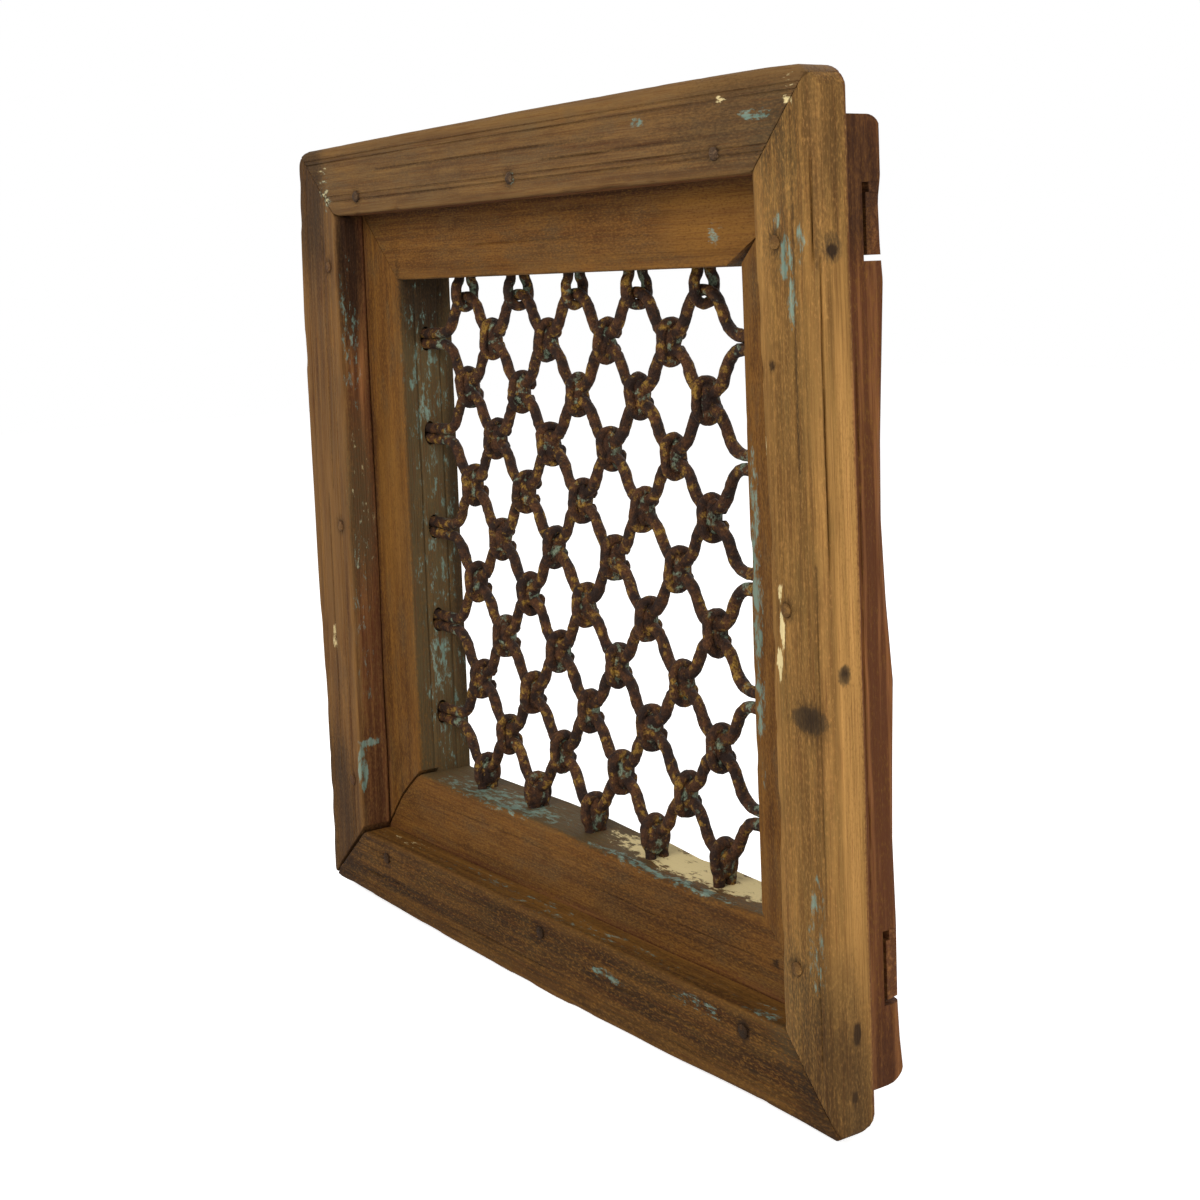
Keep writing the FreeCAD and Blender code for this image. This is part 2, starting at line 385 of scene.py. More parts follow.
def cut_out(piece: Piece, blocks: Sequence[Shell]) -> None:
    """Cuts prisms that stand clear of each other out of a timber.

    Args:
        piece: the timber, changed in place.
        blocks: points and faces of each prism.
    """
    cutter = new_piece("cutter", *joined(blocks))
    outward_faces(cutter.data)
    change = piece.modifiers.new("joint", "BOOLEAN")
    change.operation = "DIFFERENCE"
    change.solver = "EXACT"
    change.object = cutter
    shape = piece.evaluated_get(bpy.context.evaluated_depsgraph_get())
    cut_mesh = bpy.data.meshes.new_from_object(shape)
    piece.modifiers.clear()
    old = piece.data
    piece.data = cut_mesh
    cut_mesh.name = piece.name
    bpy.data.meshes.remove(old)
    bpy.data.meshes.remove(cutter.data)
    finish_shading(cut_mesh, WOOD_CREASE_DEG)


def nail_places(side: Side) -> List[Vector]:
    """Middles of the three nails of a board, read from their solid.

    Args:
        side: side of the window that the board is on.

    Returns:
        One place for each nail.
    """
    low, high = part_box(f"architrave_nails_{side}")
    inset = Vector((NAIL_HEAD / 2, 0.0, NAIL_HEAD / 2))
    return [(low + inset).lerp(high - inset, share) for share in (0.0, 0.5, 1.0)]


def hand_over(piece: Piece, node: str) -> None:
    """Puts a finished piece in the place of its solid.

    Args:
        piece: the dressed mesh.
        node: the solid that it stands for.
    """
    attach(piece, BODY)
    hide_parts(node)
    log.info("%s stands for %s, with %d faces", piece.name, node, len(piece.data.polygons))


def add(tree: Tree, kind: str, links: Dict[Union[int, str], object], **settings: object) -> Node:
    """Adds a shader node with its settings and links.

    Args:
        tree: node tree of a material or world.
        kind: node type, without its usual first word.
        links: what each input takes: a socket, a node for its first socket, a hex colour or a constant.
        settings: properties of the node.

    Returns:
        The new node.
    """
    made = tree.nodes.new("ShaderNode" + kind)
    for key, value in settings.items():
        setattr(made, key, value)
    for key, value in links.items():
        if isinstance(value, str):
            value = linear(value)
        elif isinstance(value, Node):
            value = value.outputs[0]
        if isinstance(value, Socket):
            tree.links.new(value, made.inputs[key])
        else:
            made.inputs[key].default_value = value
    return made


def bare_material(name: str) -> Material:
    """Makes a material with no nodes yet.

    Args:
        name: name of the material.

    Returns:
        The material.
    """
    made = bpy.data.materials.new(name)
    made.use_nodes = True
    made.node_tree.nodes.clear()
    return made


@dataclass(frozen=True)
class Mark:
    """A patch of old paint, dirt, wear, painted shade or painted light: its middle and its reach each way, in
    millimetres.
    """

    stain: Stain
    place: Triple
    reach: Triple
    strength: float
    steepness: float = 1.25

    def cover(self, points: Array) -> Array:
        """Strength of the patch at each point, fading to nothing at its edge."""
        offset = (points - np.array(self.place) * MM) / (np.array(self.reach) * MM)
        return self.strength * np.clip(self.steepness * (1 - np.sum(offset * offset, axis=1)), 0, 1)


@dataclass(frozen=True)
class AgedTeak:
    """Old teak, planed by hand, painted, stripped and worn.

    It gives the eye long brown figure with fine dark pores, honey-coloured edges where hands have worn it,
    redder wood where it was sheltered, dusty wood in the opening, and flecks of old paint in its hollows.
    """

    name: str
    deep: str = "#4b2e12"
    middle: str = "#6b451c"
    pale: str = "#7d5424"
    honey: str = "#875d26"
    weathered: str = "#5c4529"
    red_deep: str = "#5a331c"
    red_pale: str = "#946038"
    dusty: str = "#51452d"
    knot: str = "#493822"
    # Colour of dirt, also used for painted shade
    grime: str = "#21150c"
    turquoise: str = "#5c7c70"
    turquoise_pale: str = "#93ab9b"
    cream: str = "#dcc791"
    # Lengths of each pattern along and across the grain
    figure_mm: Pair = (150.0, 5.0)
    streak_mm: Pair = (320.0, 8.0)
    # Real pores are about 0.3 mm wide; they are drawn more than twice as wide, to show at this distance
    pore_mm: Pair = (40.0, 0.8)
    stain_mm: Pair = (72.0, 45.0)
    mottle_mm: Pair = (34.0, 12.0)
    fleck_mm: Pair = (3.0, 1.2)
    flake_mm: Pair = (12.0, 4.5)
    streak_share: float = 0.28
    weathered_share: float = 0.65
    pore_share: float = 0.5
    mottle_share: float = 0.75
    speck_share: float = 0.8
    # How much of a second noise breaks up the first in a cover, and the value below which a cover thins out
    second_share: float = 0.45
    thin_value: float = 0.15
    noise_roughness: float = 0.6
    relief_mm: float = 0.6
    relief_strength: float = 0.5
    pore_depth: float = 0.7
    paint_height: float = 0.5
    roughness: Pair = (0.62, 0.85)
    ior: float = 1.5
    specular: float = 0.12

    def material(self) -> Material:
        """Builds the shader.

        Returns:
            The material, ready to assign.
        """
        made = bare_material(self.name)
        tree = made.node_tree
        fields = self._fields(tree)
        cover = self._covers(tree, fields)
        paint = add(tree, "Mix", {0: fields["figure"], 6: self.turquoise, 7: self.turquoise_pale},
                    data_type="RGBA").outputs[2]
        colour = self._bare_wood(tree, fields, cover)
        for stain, coat in ((Stain.KNOT, self.knot), (Stain.GRIME, self.grime), (Stain.TURQUOISE, paint),
                            (Stain.CREAM, self.cream)):
            colour = add(tree, "Mix", {0: cover[stain], 6: colour, 7: coat}, data_type="RGBA").outputs[2]
        rough = add(tree, "MapRange", {0: fields["pore"], 3: self.roughness[0], 4: self.roughness[1]})
        height = add(tree, "Math", {0: fields["pore"], 1: -self.pore_depth, 2: fields["figure"]},
                     operation="MULTIPLY_ADD")
        height = add(tree, "Math", {0: cover[Stain.TURQUOISE], 1: self.paint_height, 2: height},
                     operation="MULTIPLY_ADD")
        bump = add(tree, "Bump", {"Strength": self.relief_strength, "Distance": self.relief_mm * MM,
                                  "Height": height})
        shader = add(tree, "BsdfPrincipled", {"Base Color": colour, "Roughness": rough, "IOR": self.ior,
                                              "Specular IOR Level": self.specular, "Normal": bump})
        add(tree, "OutputMaterial", {"Surface": shader})
        return made

    def _fields(self, tree: Tree) -> Dict[str, Node]:
        """Noises that run with the grain, each from 0 to 1.

        Args:
            tree: node tree of the material.

        Returns:
            The last node of each noise by what it draws.
        """
        grain = add(tree, "Attribute", {}, attribute_name="grain").outputs["Vector"]
        fields: Dict[str, Node] = {}
        for label, (along, across), detail in (
            ("figure", self.figure_mm, 4.0), ("streak", self.streak_mm, 2.0), ("pore", self.pore_mm, 2.0),
            ("stain", self.stain_mm, 4.0), ("mottle", self.mottle_mm, 5.0), ("fleck", self.fleck_mm, 5.0),
            ("flake", self.flake_mm, 5.0),
        ):
            cells = (1 / (along * MM), 1 / (across * MM), 1 / (across * MM))
            scaled = add(tree, "VectorMath", {0: grain, 1: cells}, operation="MULTIPLY")
            noise = add(tree, "TexNoise", {"Vector": scaled, "Scale": 1.0, "Detail": detail,
                                           "Roughness": self.noise_roughness})
            fields[label] = add(tree, "MapRange", {0: noise, 1: NOISE_LOW, 2: NOISE_HIGH})
        return fields

    def _covers(self, tree: Tree, fields: Dict[str, Node]) -> Dict[Stain, Node]:
        """Breaks up each vertex value with flecks, so that about that share of the wood is covered.

        Args:
            tree: node tree of the material.
            fields: noises by name.

        Returns:
            The cover of each stain.
        """
        broken, flaked = (
            add(tree, "Math", {0: fields[second], 1: self.second_share, 2: fields[first]},
                operation="MULTIPLY_ADD")
            for first, second in (("fleck", "stain"), ("flake", "fleck")))
        noise_middle = (1 + self.second_share) / 2
        cover: Dict[Stain, Node] = {}
        # How ragged the noise makes each cover, how soft its edges are, and the most that it hides
        for stain, texture, ragged, softness, most in (
            (Stain.WORN, broken, 0.7, 0.5, 0.9), (Stain.SHELTERED, broken, 0.7, 0.5, 0.95),
            (Stain.DUSTY, broken, 0.6, 0.5, 0.9), (Stain.KNOT, broken, 0.3, 0.2, 0.85),
            (Stain.GRIME, broken, 0.3, 0.45, 0.9), (Stain.TURQUOISE, flaked, 1.0, 0.22, 0.72),
            (Stain.CREAM, flaked, 1.0, 0.16, 0.92),
        ):
            value = add(tree, "Attribute", {}, attribute_name=stain.value).outputs["Fac"]
            spread = add(tree, "Math", {0: texture, 1: ragged, 2: value}, operation="MULTIPLY_ADD")
            middle = 0.5 + noise_middle * ragged
            shape = add(tree, "MapRange", {0: spread, 1: middle - softness, 2: middle + softness, 4: most},
                        interpolation_type="SMOOTHSTEP")
            lying = add(tree, "MapRange", {0: value, 2: self.thin_value})
            cover[stain] = add(tree, "Math", {0: shape, 1: lying}, operation="MULTIPLY")
        return cover

    def _bare_wood(self, tree: Tree, fields: Dict[str, Node], cover: Dict[Stain, Node]) -> Socket:
        """Colour of the wood itself: figure, streaks, weathering, wear and pores.

        Args:
            tree: node tree of the material.
            fields: noises by name.
            cover: covers of the stains.

        Returns:
            The colour socket.
        """
        shares: Dict[str, Node] = {}
        # What each noise draws: where it starts and where it has its whole share, and that share
        for label, noise, start, stop, most in (
            ("middle", "figure", 0.1, 0.55, 1.0), ("pale", "figure", 0.5, 0.95, 1.0),
            ("streak", "streak", 0.45, 0.8, self.streak_share),
            ("weathered", "stain", 0.4, 0.95, self.weathered_share),
            ("light patch", "mottle", 0.55, 0.95, self.mottle_share),
            ("dark patch", "mottle", 0.45, 0.05, self.mottle_share),
            ("dark speck", "fleck", 0.5, 1.0, self.speck_share),
            ("light speck", "fleck", 0.5, 0.0, self.speck_share),
            ("pore", "pore", 0.5, 1.0, self.pore_share),
        ):
            shares[label] = add(tree, "MapRange", {0: fields[noise], 1: start, 2: stop, 4: most})
        # Colour of rubbed wood; the wear marks also use it for painted light and a painted highlight
        rubbed, red = (add(tree, "Mix", {0: share, 6: low, 7: high}, data_type="RGBA").outputs[2]
                       for share, low, high in ((fields["figure"], self.pale, self.honey),
                                                (shares["pale"], self.red_deep, self.red_pale)))
        colour: Union[str, Socket] = self.deep
        for share, coat in (
            (shares["middle"], self.middle), (shares["pale"], self.pale), (shares["streak"], self.honey),
            (shares["weathered"], self.weathered), (shares["light patch"], self.weathered),
            (shares["dark patch"], self.deep), (cover[Stain.WORN], rubbed), (shares["dark speck"], self.deep),
            (shares["light speck"], self.honey), (cover[Stain.SHELTERED], red),
            (cover[Stain.DUSTY], self.dusty), (shares["pore"], self.red_deep),
        ):
            colour = add(tree, "Mix", {0: share, 6: colour, 7: coat}, data_type="RGBA").outputs[2]
        return colour


@dataclass(frozen=True)
class RustedIron:
    """Wrought iron, forged by hand, rusted and once painted with the wood.

    It gives the eye a rough brown-black skin with ochre rust in blotches, and grey-green paint left where
    the bars touch.
    """

    name: str
    skin: str = "#26170f"
    rust: str = "#58361c"
    ochre: str = "#a07a30"
    paint: str = "#84947c"
    # Ochre gathers where the rust blotches are
    blotch_share: float = 0.7
    ochre_share: float = 0.8
    paint_share: float = 0.5
    paint_cover: float = 0.8
    pit_share: float = 0.55
    blotch_mm: float = 9.0
    ochre_mm: float = 6.0
    flake_mm: float = 7.8
    pit_mm: float = 1.4
    noise_roughness: float = 0.65
    relief_mm: float = 0.8
    relief_strength: float = 0.8
    roughness: Pair = (0.85, 0.6)
    specular: float = 0.2

    def material(self) -> Material:
        """Builds the shader.

        Returns:
            The material, ready to assign.
        """
        made = bare_material(self.name)
        tree = made.node_tree
        place = add(tree, "TexCoord", {}).outputs["Object"]
        fields: Dict[str, Node] = {}
        for label, size, detail in (("blotch", self.blotch_mm, 4.0), ("ochre", self.ochre_mm, 5.0),
                                    ("flake", self.flake_mm, 5.0), ("pit", self.pit_mm, 2.0)):
            noise = add(tree, "TexNoise", {"Vector": place, "Scale": 1 / (size * MM), "Detail": detail,
                                           "Roughness": self.noise_roughness})
            fields[label] = add(tree, "MapRange", {0: noise, 1: NOISE_LOW, 2: NOISE_HIGH})
        rusty = add(tree, "MapRange", {0: fields["blotch"], 1: 0.3, 2: 0.75})
        patchy = add(tree, "Math", {0: fields["blotch"], 1: self.blotch_share, 2: fields["ochre"]},
                     operation="MULTIPLY_ADD")
        bright = add(tree, "MapRange", {0: patchy, 1: 1.0, 2: 1.28, 4: self.ochre_share})
        caught = add(tree, "Attribute", {}, attribute_name="paint").outputs["Fac"]
        ragged = add(tree, "Math", {0: caught, 1: self.paint_share, 2: fields["flake"]},
                     operation="MULTIPLY_ADD")
        painted = add(tree, "MapRange", {0: ragged, 1: 0.9, 2: 1.12, 4: self.paint_cover})
        pitted = add(tree, "MapRange", {0: fields["pit"], 1: 0.25, 2: 0.55, 3: self.pit_share, 4: 0.0})
        colour: Union[str, Socket] = self.skin
        coats = ((rusty, self.rust), (bright, self.ochre), (painted, self.paint), (pitted, self.skin))
        for share, coat in coats:
            colour = add(tree, "Mix", {0: share, 6: colour, 7: coat}, data_type="RGBA").outputs[2]
        height = add(tree, "Math", {0: fields["pit"], 1: fields["ochre"]}, operation="ADD")
        bump = add(tree, "Bump", {"Strength": self.relief_strength, "Distance": self.relief_mm * MM,
                                  "Height": height})
        rough = add(tree, "MapRange", {0: fields["pit"], 3: self.roughness[0], 4: self.roughness[1]})
        shader = add(tree, "BsdfPrincipled", {"Base Color": colour, "Roughness": rough,
                                              "Specular IOR Level": self.specular, "Normal": bump})
        add(tree, "OutputMaterial", {"Surface": shader})
        return made


@dataclass(frozen=True)
class Plan:
    """Planes of the window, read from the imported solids; of a pair, the left one comes first."""

    front_y: float
    ledge_y: float
    rear_y: float
    jamb_inner_x: Pair
    jamb_outer_x: Pair
    board_inner_x: Pair
    board_outer_x: Pair
    sill_z: float
    head_z: float
    board_bottom_z: float
    board_top_z: float
    top_z: float
    sill_under_z: float
    head_top_z: float
    jamb_bottom_z: float
    jamb_top_z: float

    @classmethod
    def from_frame(cls) -> "Plan":
        """Reads the boxes of the solids.

        Returns:
            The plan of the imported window.
        """
        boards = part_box("architrave_left"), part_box("architrave_right")
        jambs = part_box("jamb_left"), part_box("jamb_right")
        top_board, bottom_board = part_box("architrave_top"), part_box("architrave_bottom")
        head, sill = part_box("head"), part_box("sill")
        return cls(
            front_y=top_board[0].y, ledge_y=head[0].y, rear_y=head[1].y,
            jamb_inner_x=(jambs[0][1].x, jambs[1][0].x), jamb_outer_x=(jambs[0][0].x, jambs[1][1].x),
            board_inner_x=(boards[0][1].x, boards[1][0].x), board_outer_x=(boards[0][0].x, boards[1][1].x),
            sill_z=sill[1].z, head_z=head[0].z,
            board_bottom_z=bottom_board[1].z, board_top_z=top_board[0].z, top_z=top_board[1].z,
            sill_under_z=sill[0].z, head_top_z=head[1].z,
            jamb_bottom_z=jambs[0][0].z, jamb_top_z=jambs[0][1].z,
        )

    def inside(self, points: Array, x_planes: Pair, z_planes: Pair) -> Array:
        """How far points stand inside a rectangle of the front view, below 0 outside it."""
        across = np.minimum(points[:, 0] - x_planes[0], x_planes[1] - points[:, 0])
        return np.minimum(across, np.minimum(points[:, 2] - z_planes[0], z_planes[1] - points[:, 2]))


@dataclass(frozen=True)
class Crack:
    """A split along the grain: where it starts and stops, how far round the section, and its size."""

    start: float
    stop: float
    girth: float
    width: float = 1.6 * MM
    depth: float = 2.2 * MM
    wander: float = 1.5 * MM


@dataclass
class Sweep:
    """A swept surface, station by station: places along, across and deep, and the distance round."""

    along: Array
    across: Array
    deep: Array
    girth: Array


@dataclass
class Timber:
    """A straight timber swept along its grain from a square section and then worn.

    Along is the world place on the axis of the grain, across is measured outward from the inner edge, and
    deep from the front face to the back. Ends are the first and last places along, each at the inner and at
    the outer edge, so that a mitred end has two different ones. A cell is the size of a noise: along the
    grain, and across it where there are two numbers.
    """

    name: str
    run: Run
    inner: float
    outward: int
    front: float
    width: float
    depth: float
    ends: Tuple[Pair, Pair]
    seed: int
    front_inner_round: float = 2.5 * MM
    front_outer_round: float = 2.5 * MM
    back_outer_round: float = 2.5 * MM
    back_inner_round: float = 2.0 * MM
    round_sway: float = 0.35
    round_cell: float = 55 * MM
    chips: float = 1.5 * MM
    chip_cell: Pair = (16 * MM, 9 * MM)
    chip_reach: float = 5 * MM
    chip_level: float = 0.2
    broad_wave: float = 0.7 * MM
    broad_cell: Pair = (90 * MM, 38 * MM)
    ridge: float = 0.22 * MM
    ridge_cell: Pair = (70 * MM, 3.2 * MM)
    end_drop: float = 0.6 * MM
    end_reach: float = 0.9 * MM
    front_step: float = 1.1 * MM
    side_step: float = 1.6 * MM
    back_step: float = 5.0 * MM
    arris_band: float = 4 * MM
    station_step: float = 3.0 * MM
    end_step: float = 0.8 * MM
    end_band: float = 2.4 * MM
    front_skin: float = 2.5 * MM
    scratches: Sequence[float] = ()
    scratch_width: float = 2.0 * MM
    scratch_depth: float = 1.1 * MM
    scratch_cell: float = 60 * MM
    # Samples across a scratched line, in halves of its width, and the room that other samples leave it
    scratch_samples: Sequence[float] = (-1.3, -1.0, -0.5, 0.0, 0.5, 1.0, 1.3)
    scratch_room: float = 1.4
    cracks: Sequence[Crack] = ()
    crack_cell: float = 35 * MM
    dents: Sequence[Tuple[float, float, float, float]] = ()
    dent_fall: float = 1.6
    inner_inset: Pairs = ()
    inset_reach: float = 22 * MM
    # Each timber's figure is cut from another place of the wood
    figure_shift: Triple = (0.37, 0.11, 0.05)
    figure_places: int = 17

    def section(self) -> Tuple[Array, Array, Array]:
        """Square section, closely sampled, with extra points across each scratched line.

        Returns:
            Places across, places deep and distances round, from the inner front arris.
        """
        across = list(np.linspace(0, self.width, round(self.width / self.front_step) + 1))
        half = self.scratch_width / 2
        for middle in self.scratches:
            across = [a for a in across if abs(a - middle) > half * self.scratch_room]
            across += [middle + half * share for share in self.scratch_samples]
        front = np.array(sorted(across))
        side = spaced(self.depth, self.side_step, self.front_step, self.arris_band)
        back = spaced(self.width, self.back_step, self.front_step, self.arris_band)
        loop_across = np.concatenate([front[:-1], np.full(len(side) - 1, self.width),
                                      self.width - back[:-1], np.zeros(len(side) - 1)])
        loop_deep = np.concatenate([np.zeros(len(front) - 1), side[:-1],
                                    np.full(len(back) - 1, self.depth), self.depth - side[:-1]])
        steps = np.hypot(np.diff(loop_across), np.diff(loop_deep))
        return loop_across, loop_deep, np.concatenate([[0], np.cumsum(steps)])

    def ends_at(self, across: Array) -> List[Array]:
        """First and last places along, at places across."""
        return [inner + (outer - inner) * (across / self.width) for inner, outer in self.ends]

    def sweep(self) -> Sweep:
        """Runs the section from end to end, sheared to the mitres.

        Returns:
            The square-edged surface.
        """
        loops = self.section()
        first, last = self.ends_at(loops[0])
        length = abs(self.ends[1][0] - self.ends[0][0])
        stations = spaced(length, self.station_step, self.end_step, self.end_band) / length
        along = first[None, :] + (last - first)[None, :] * stations[:, None]
        return Sweep(along, *(np.broadcast_to(loop, along.shape).copy() for loop in loops))

    def sway(self, along: Array, size: float, salt: int) -> Array:
        """Slow noise along the timber."""
        places = np.stack([along / size, np.full_like(along, 0.5), np.full_like(along, 0.5)], axis=-1)
        return soft_noise(places, self.seed + salt)

    def noise(self, s: Sweep, cell: Pair, salt: Salt) -> Array:
        """Noise over the surface of the timber."""
        long, wide = cell
        places = np.stack([s.along / long, s.across / wide, s.deep / wide], axis=-1)
        return soft_noise(places, self.seed + salt)

    def ease(self, s: Sweep) -> None:
        """Rounds the four arrises, more in some places than in others.

        Args:
            s: the surface, changed in place.
        """
        for salt, (radius, outer, back) in enumerate((
            (self.front_inner_round, False, False), (self.front_outer_round, True, False),
            (self.back_outer_round, True, True), (self.back_inner_round, False, True),
        )):
            here = radius * (1 + self.round_sway * self.sway(s.along, self.round_cell, salt))
            across = self.width - s.across if outer else s.across
            deep = self.depth - s.deep if back else s.deep
            across, deep = eased(across, deep, here)
            s.across = self.width - across if outer else across
            s.deep = self.depth - deep if back else deep

    def relief(self, s: Sweep) -> Array:
        """Depth that wear, grain, scratched lines, cracks and dents take off the surface.

        Args:
            s: the rounded surface.

        Returns:
            Depth inward at each point.
        """
        taken = self.broad_wave * (0.5 + 0.5 * self.noise(s, self.broad_cell, Salt.BROAD))
        taken += self.ridge * (0.5 + 0.5 * self.noise(s, self.ridge_cell, Salt.RIDGE))
        to_arris = np.minimum(np.hypot(s.across, s.deep), np.hypot(self.width - s.across, s.deep))
        chipped = np.clip(self.noise(s, self.chip_cell, Salt.CHIP) - self.chip_level, 0, 1)
        taken += self.chips * chipped * faded(to_arris, self.chip_reach)
        on_front = s.deep < self.front_skin
        for number, middle in enumerate(self.scratches):
            share = np.maximum(0, 1 - np.abs(s.across - middle) / (self.scratch_width / 2))
            # Wear has left between a fifth and the whole of each line's depth
            left = np.clip(0.75 + 0.5 * self.sway(s.along, self.scratch_cell, Salt.SCRATCH + number), 0.2, 1)
            taken += np.where(on_front, self.scratch_depth * left * np.sqrt(share), 0)
        for number, crack in enumerate(self.cracks):
            middle = crack.girth + crack.wander * self.sway(s.along, self.crack_cell, Salt.CRACK + number)
            share = np.maximum(0, 1 - np.abs(s.girth - middle) / (crack.width / 2))
            run = (s.along - crack.start) / (crack.stop - crack.start)
            taper = np.sqrt(np.clip(4 * run * (1 - run), 0, 1))
            taken += crack.depth * taper * share
        for along, across, radius, depth in self.dents:
            away = np.hypot(s.along - along, s.across - across) / radius
            taken += np.where(on_front, depth * np.exp(-away * away * self.dent_fall), 0)
        first, last = self.ends_at(s.across)
        to_end = np.minimum(np.abs(s.along - first), np.abs(last - s.along))
        return taken + self.end_drop * np.exp(-to_end / self.end_reach)

    def wear(self, s: Sweep) -> None:
        """Takes the relief off square to the section, then draws in the inner edge.

        Args:
            s: the rounded surface, changed in place.
        """
        taken = self.relief(s)
        run_across = np.roll(s.across, -1, axis=1) - np.roll(s.across, 1, axis=1)
        run_deep = np.roll(s.deep, -1, axis=1) - np.roll(s.deep, 1, axis=1)
        length = np.maximum(np.hypot(run_across, run_deep), TINY)
        s.across = s.across - taken * run_deep / length
        s.deep = s.deep + taken * run_across / length
        if self.inner_inset:
            inset = np.interp(s.along, *zip(*self.inner_inset))
            s.across = s.across + inset * np.clip(1 - s.across / self.inset_reach, 0, 1)

    def world(self, s: Sweep) -> Array:
        """Places of the surface in the frame of the window.

        Args:
            s: the worn surface.

        Returns:
            Points, station by station.
        """
        across = self.inner + self.outward * s.across
        deep = self.front + s.deep
        order = (s.along, deep, across) if self.run is Run.LEVEL else (across, deep, s.along)
        return np.stack([part.ravel() for part in order], axis=1)

    def build(self) -> Piece:
        """Makes the worn timber as a closed mesh.

        Returns:
            The new object.
        """
        s = self.sweep()
        self.ease(s)
        self.wear(s)
        faces = tube_faces(*s.along.shape)
        if self.turned():
            faces = [face[::-1] for face in faces]
        return new_piece(self.name, self.world(s), faces)

    def turned(self) -> bool:
        """Whether the way the section runs has to be turned for faces to look outward."""
        return (self.run is Run.LEVEL) == (self.outward > 0)

    def grain_of(self, points: Array) -> Array:
        """Places along, across and deep of points of the finished timber, for its figure."""
        axis = self.run.value
        shift = np.array(self.figure_shift) * (1 + self.seed % self.figure_places)
        return np.stack([points[:, axis], points[:, 2 - axis], points[:, 1]], axis=1) + shift


@dataclass
class Joinery:
    """What all the woodwork shares: the plan, the marks on it and the way it is dressed."""

    plan: Plan
    marks: Sequence[Mark]

    def dress(self, piece: Piece, timber: Timber, values: Dict[Stain, Array], finish: Material) -> None:
        """Gives a timber its finish, and the vertex values that its finish reads.

        Args:
            piece: the finished mesh.
            timber: the timber that it was made from.
            values: wear, dust, dirt, painted shade and shelter of each vertex.
            finish: the wood's finish.
        """
        mesh = piece.data
        points = vertex_places(mesh)
        grain = mesh.attributes.new("grain", "FLOAT_VECTOR", "POINT")
        grain.data.foreach_set("vector", timber.grain_of(points).astype(np.float32).ravel())
        for stain in Stain:
            value = np.clip(values.get(stain, np.zeros(len(points))), 0, 1)
            for mark in self.marks:
                if mark.stain is stain:
                    value = np.maximum(value, mark.cover(points))
            set_values(mesh, stain.value, value)
        mesh.materials.clear()
        mesh.materials.append(finish)


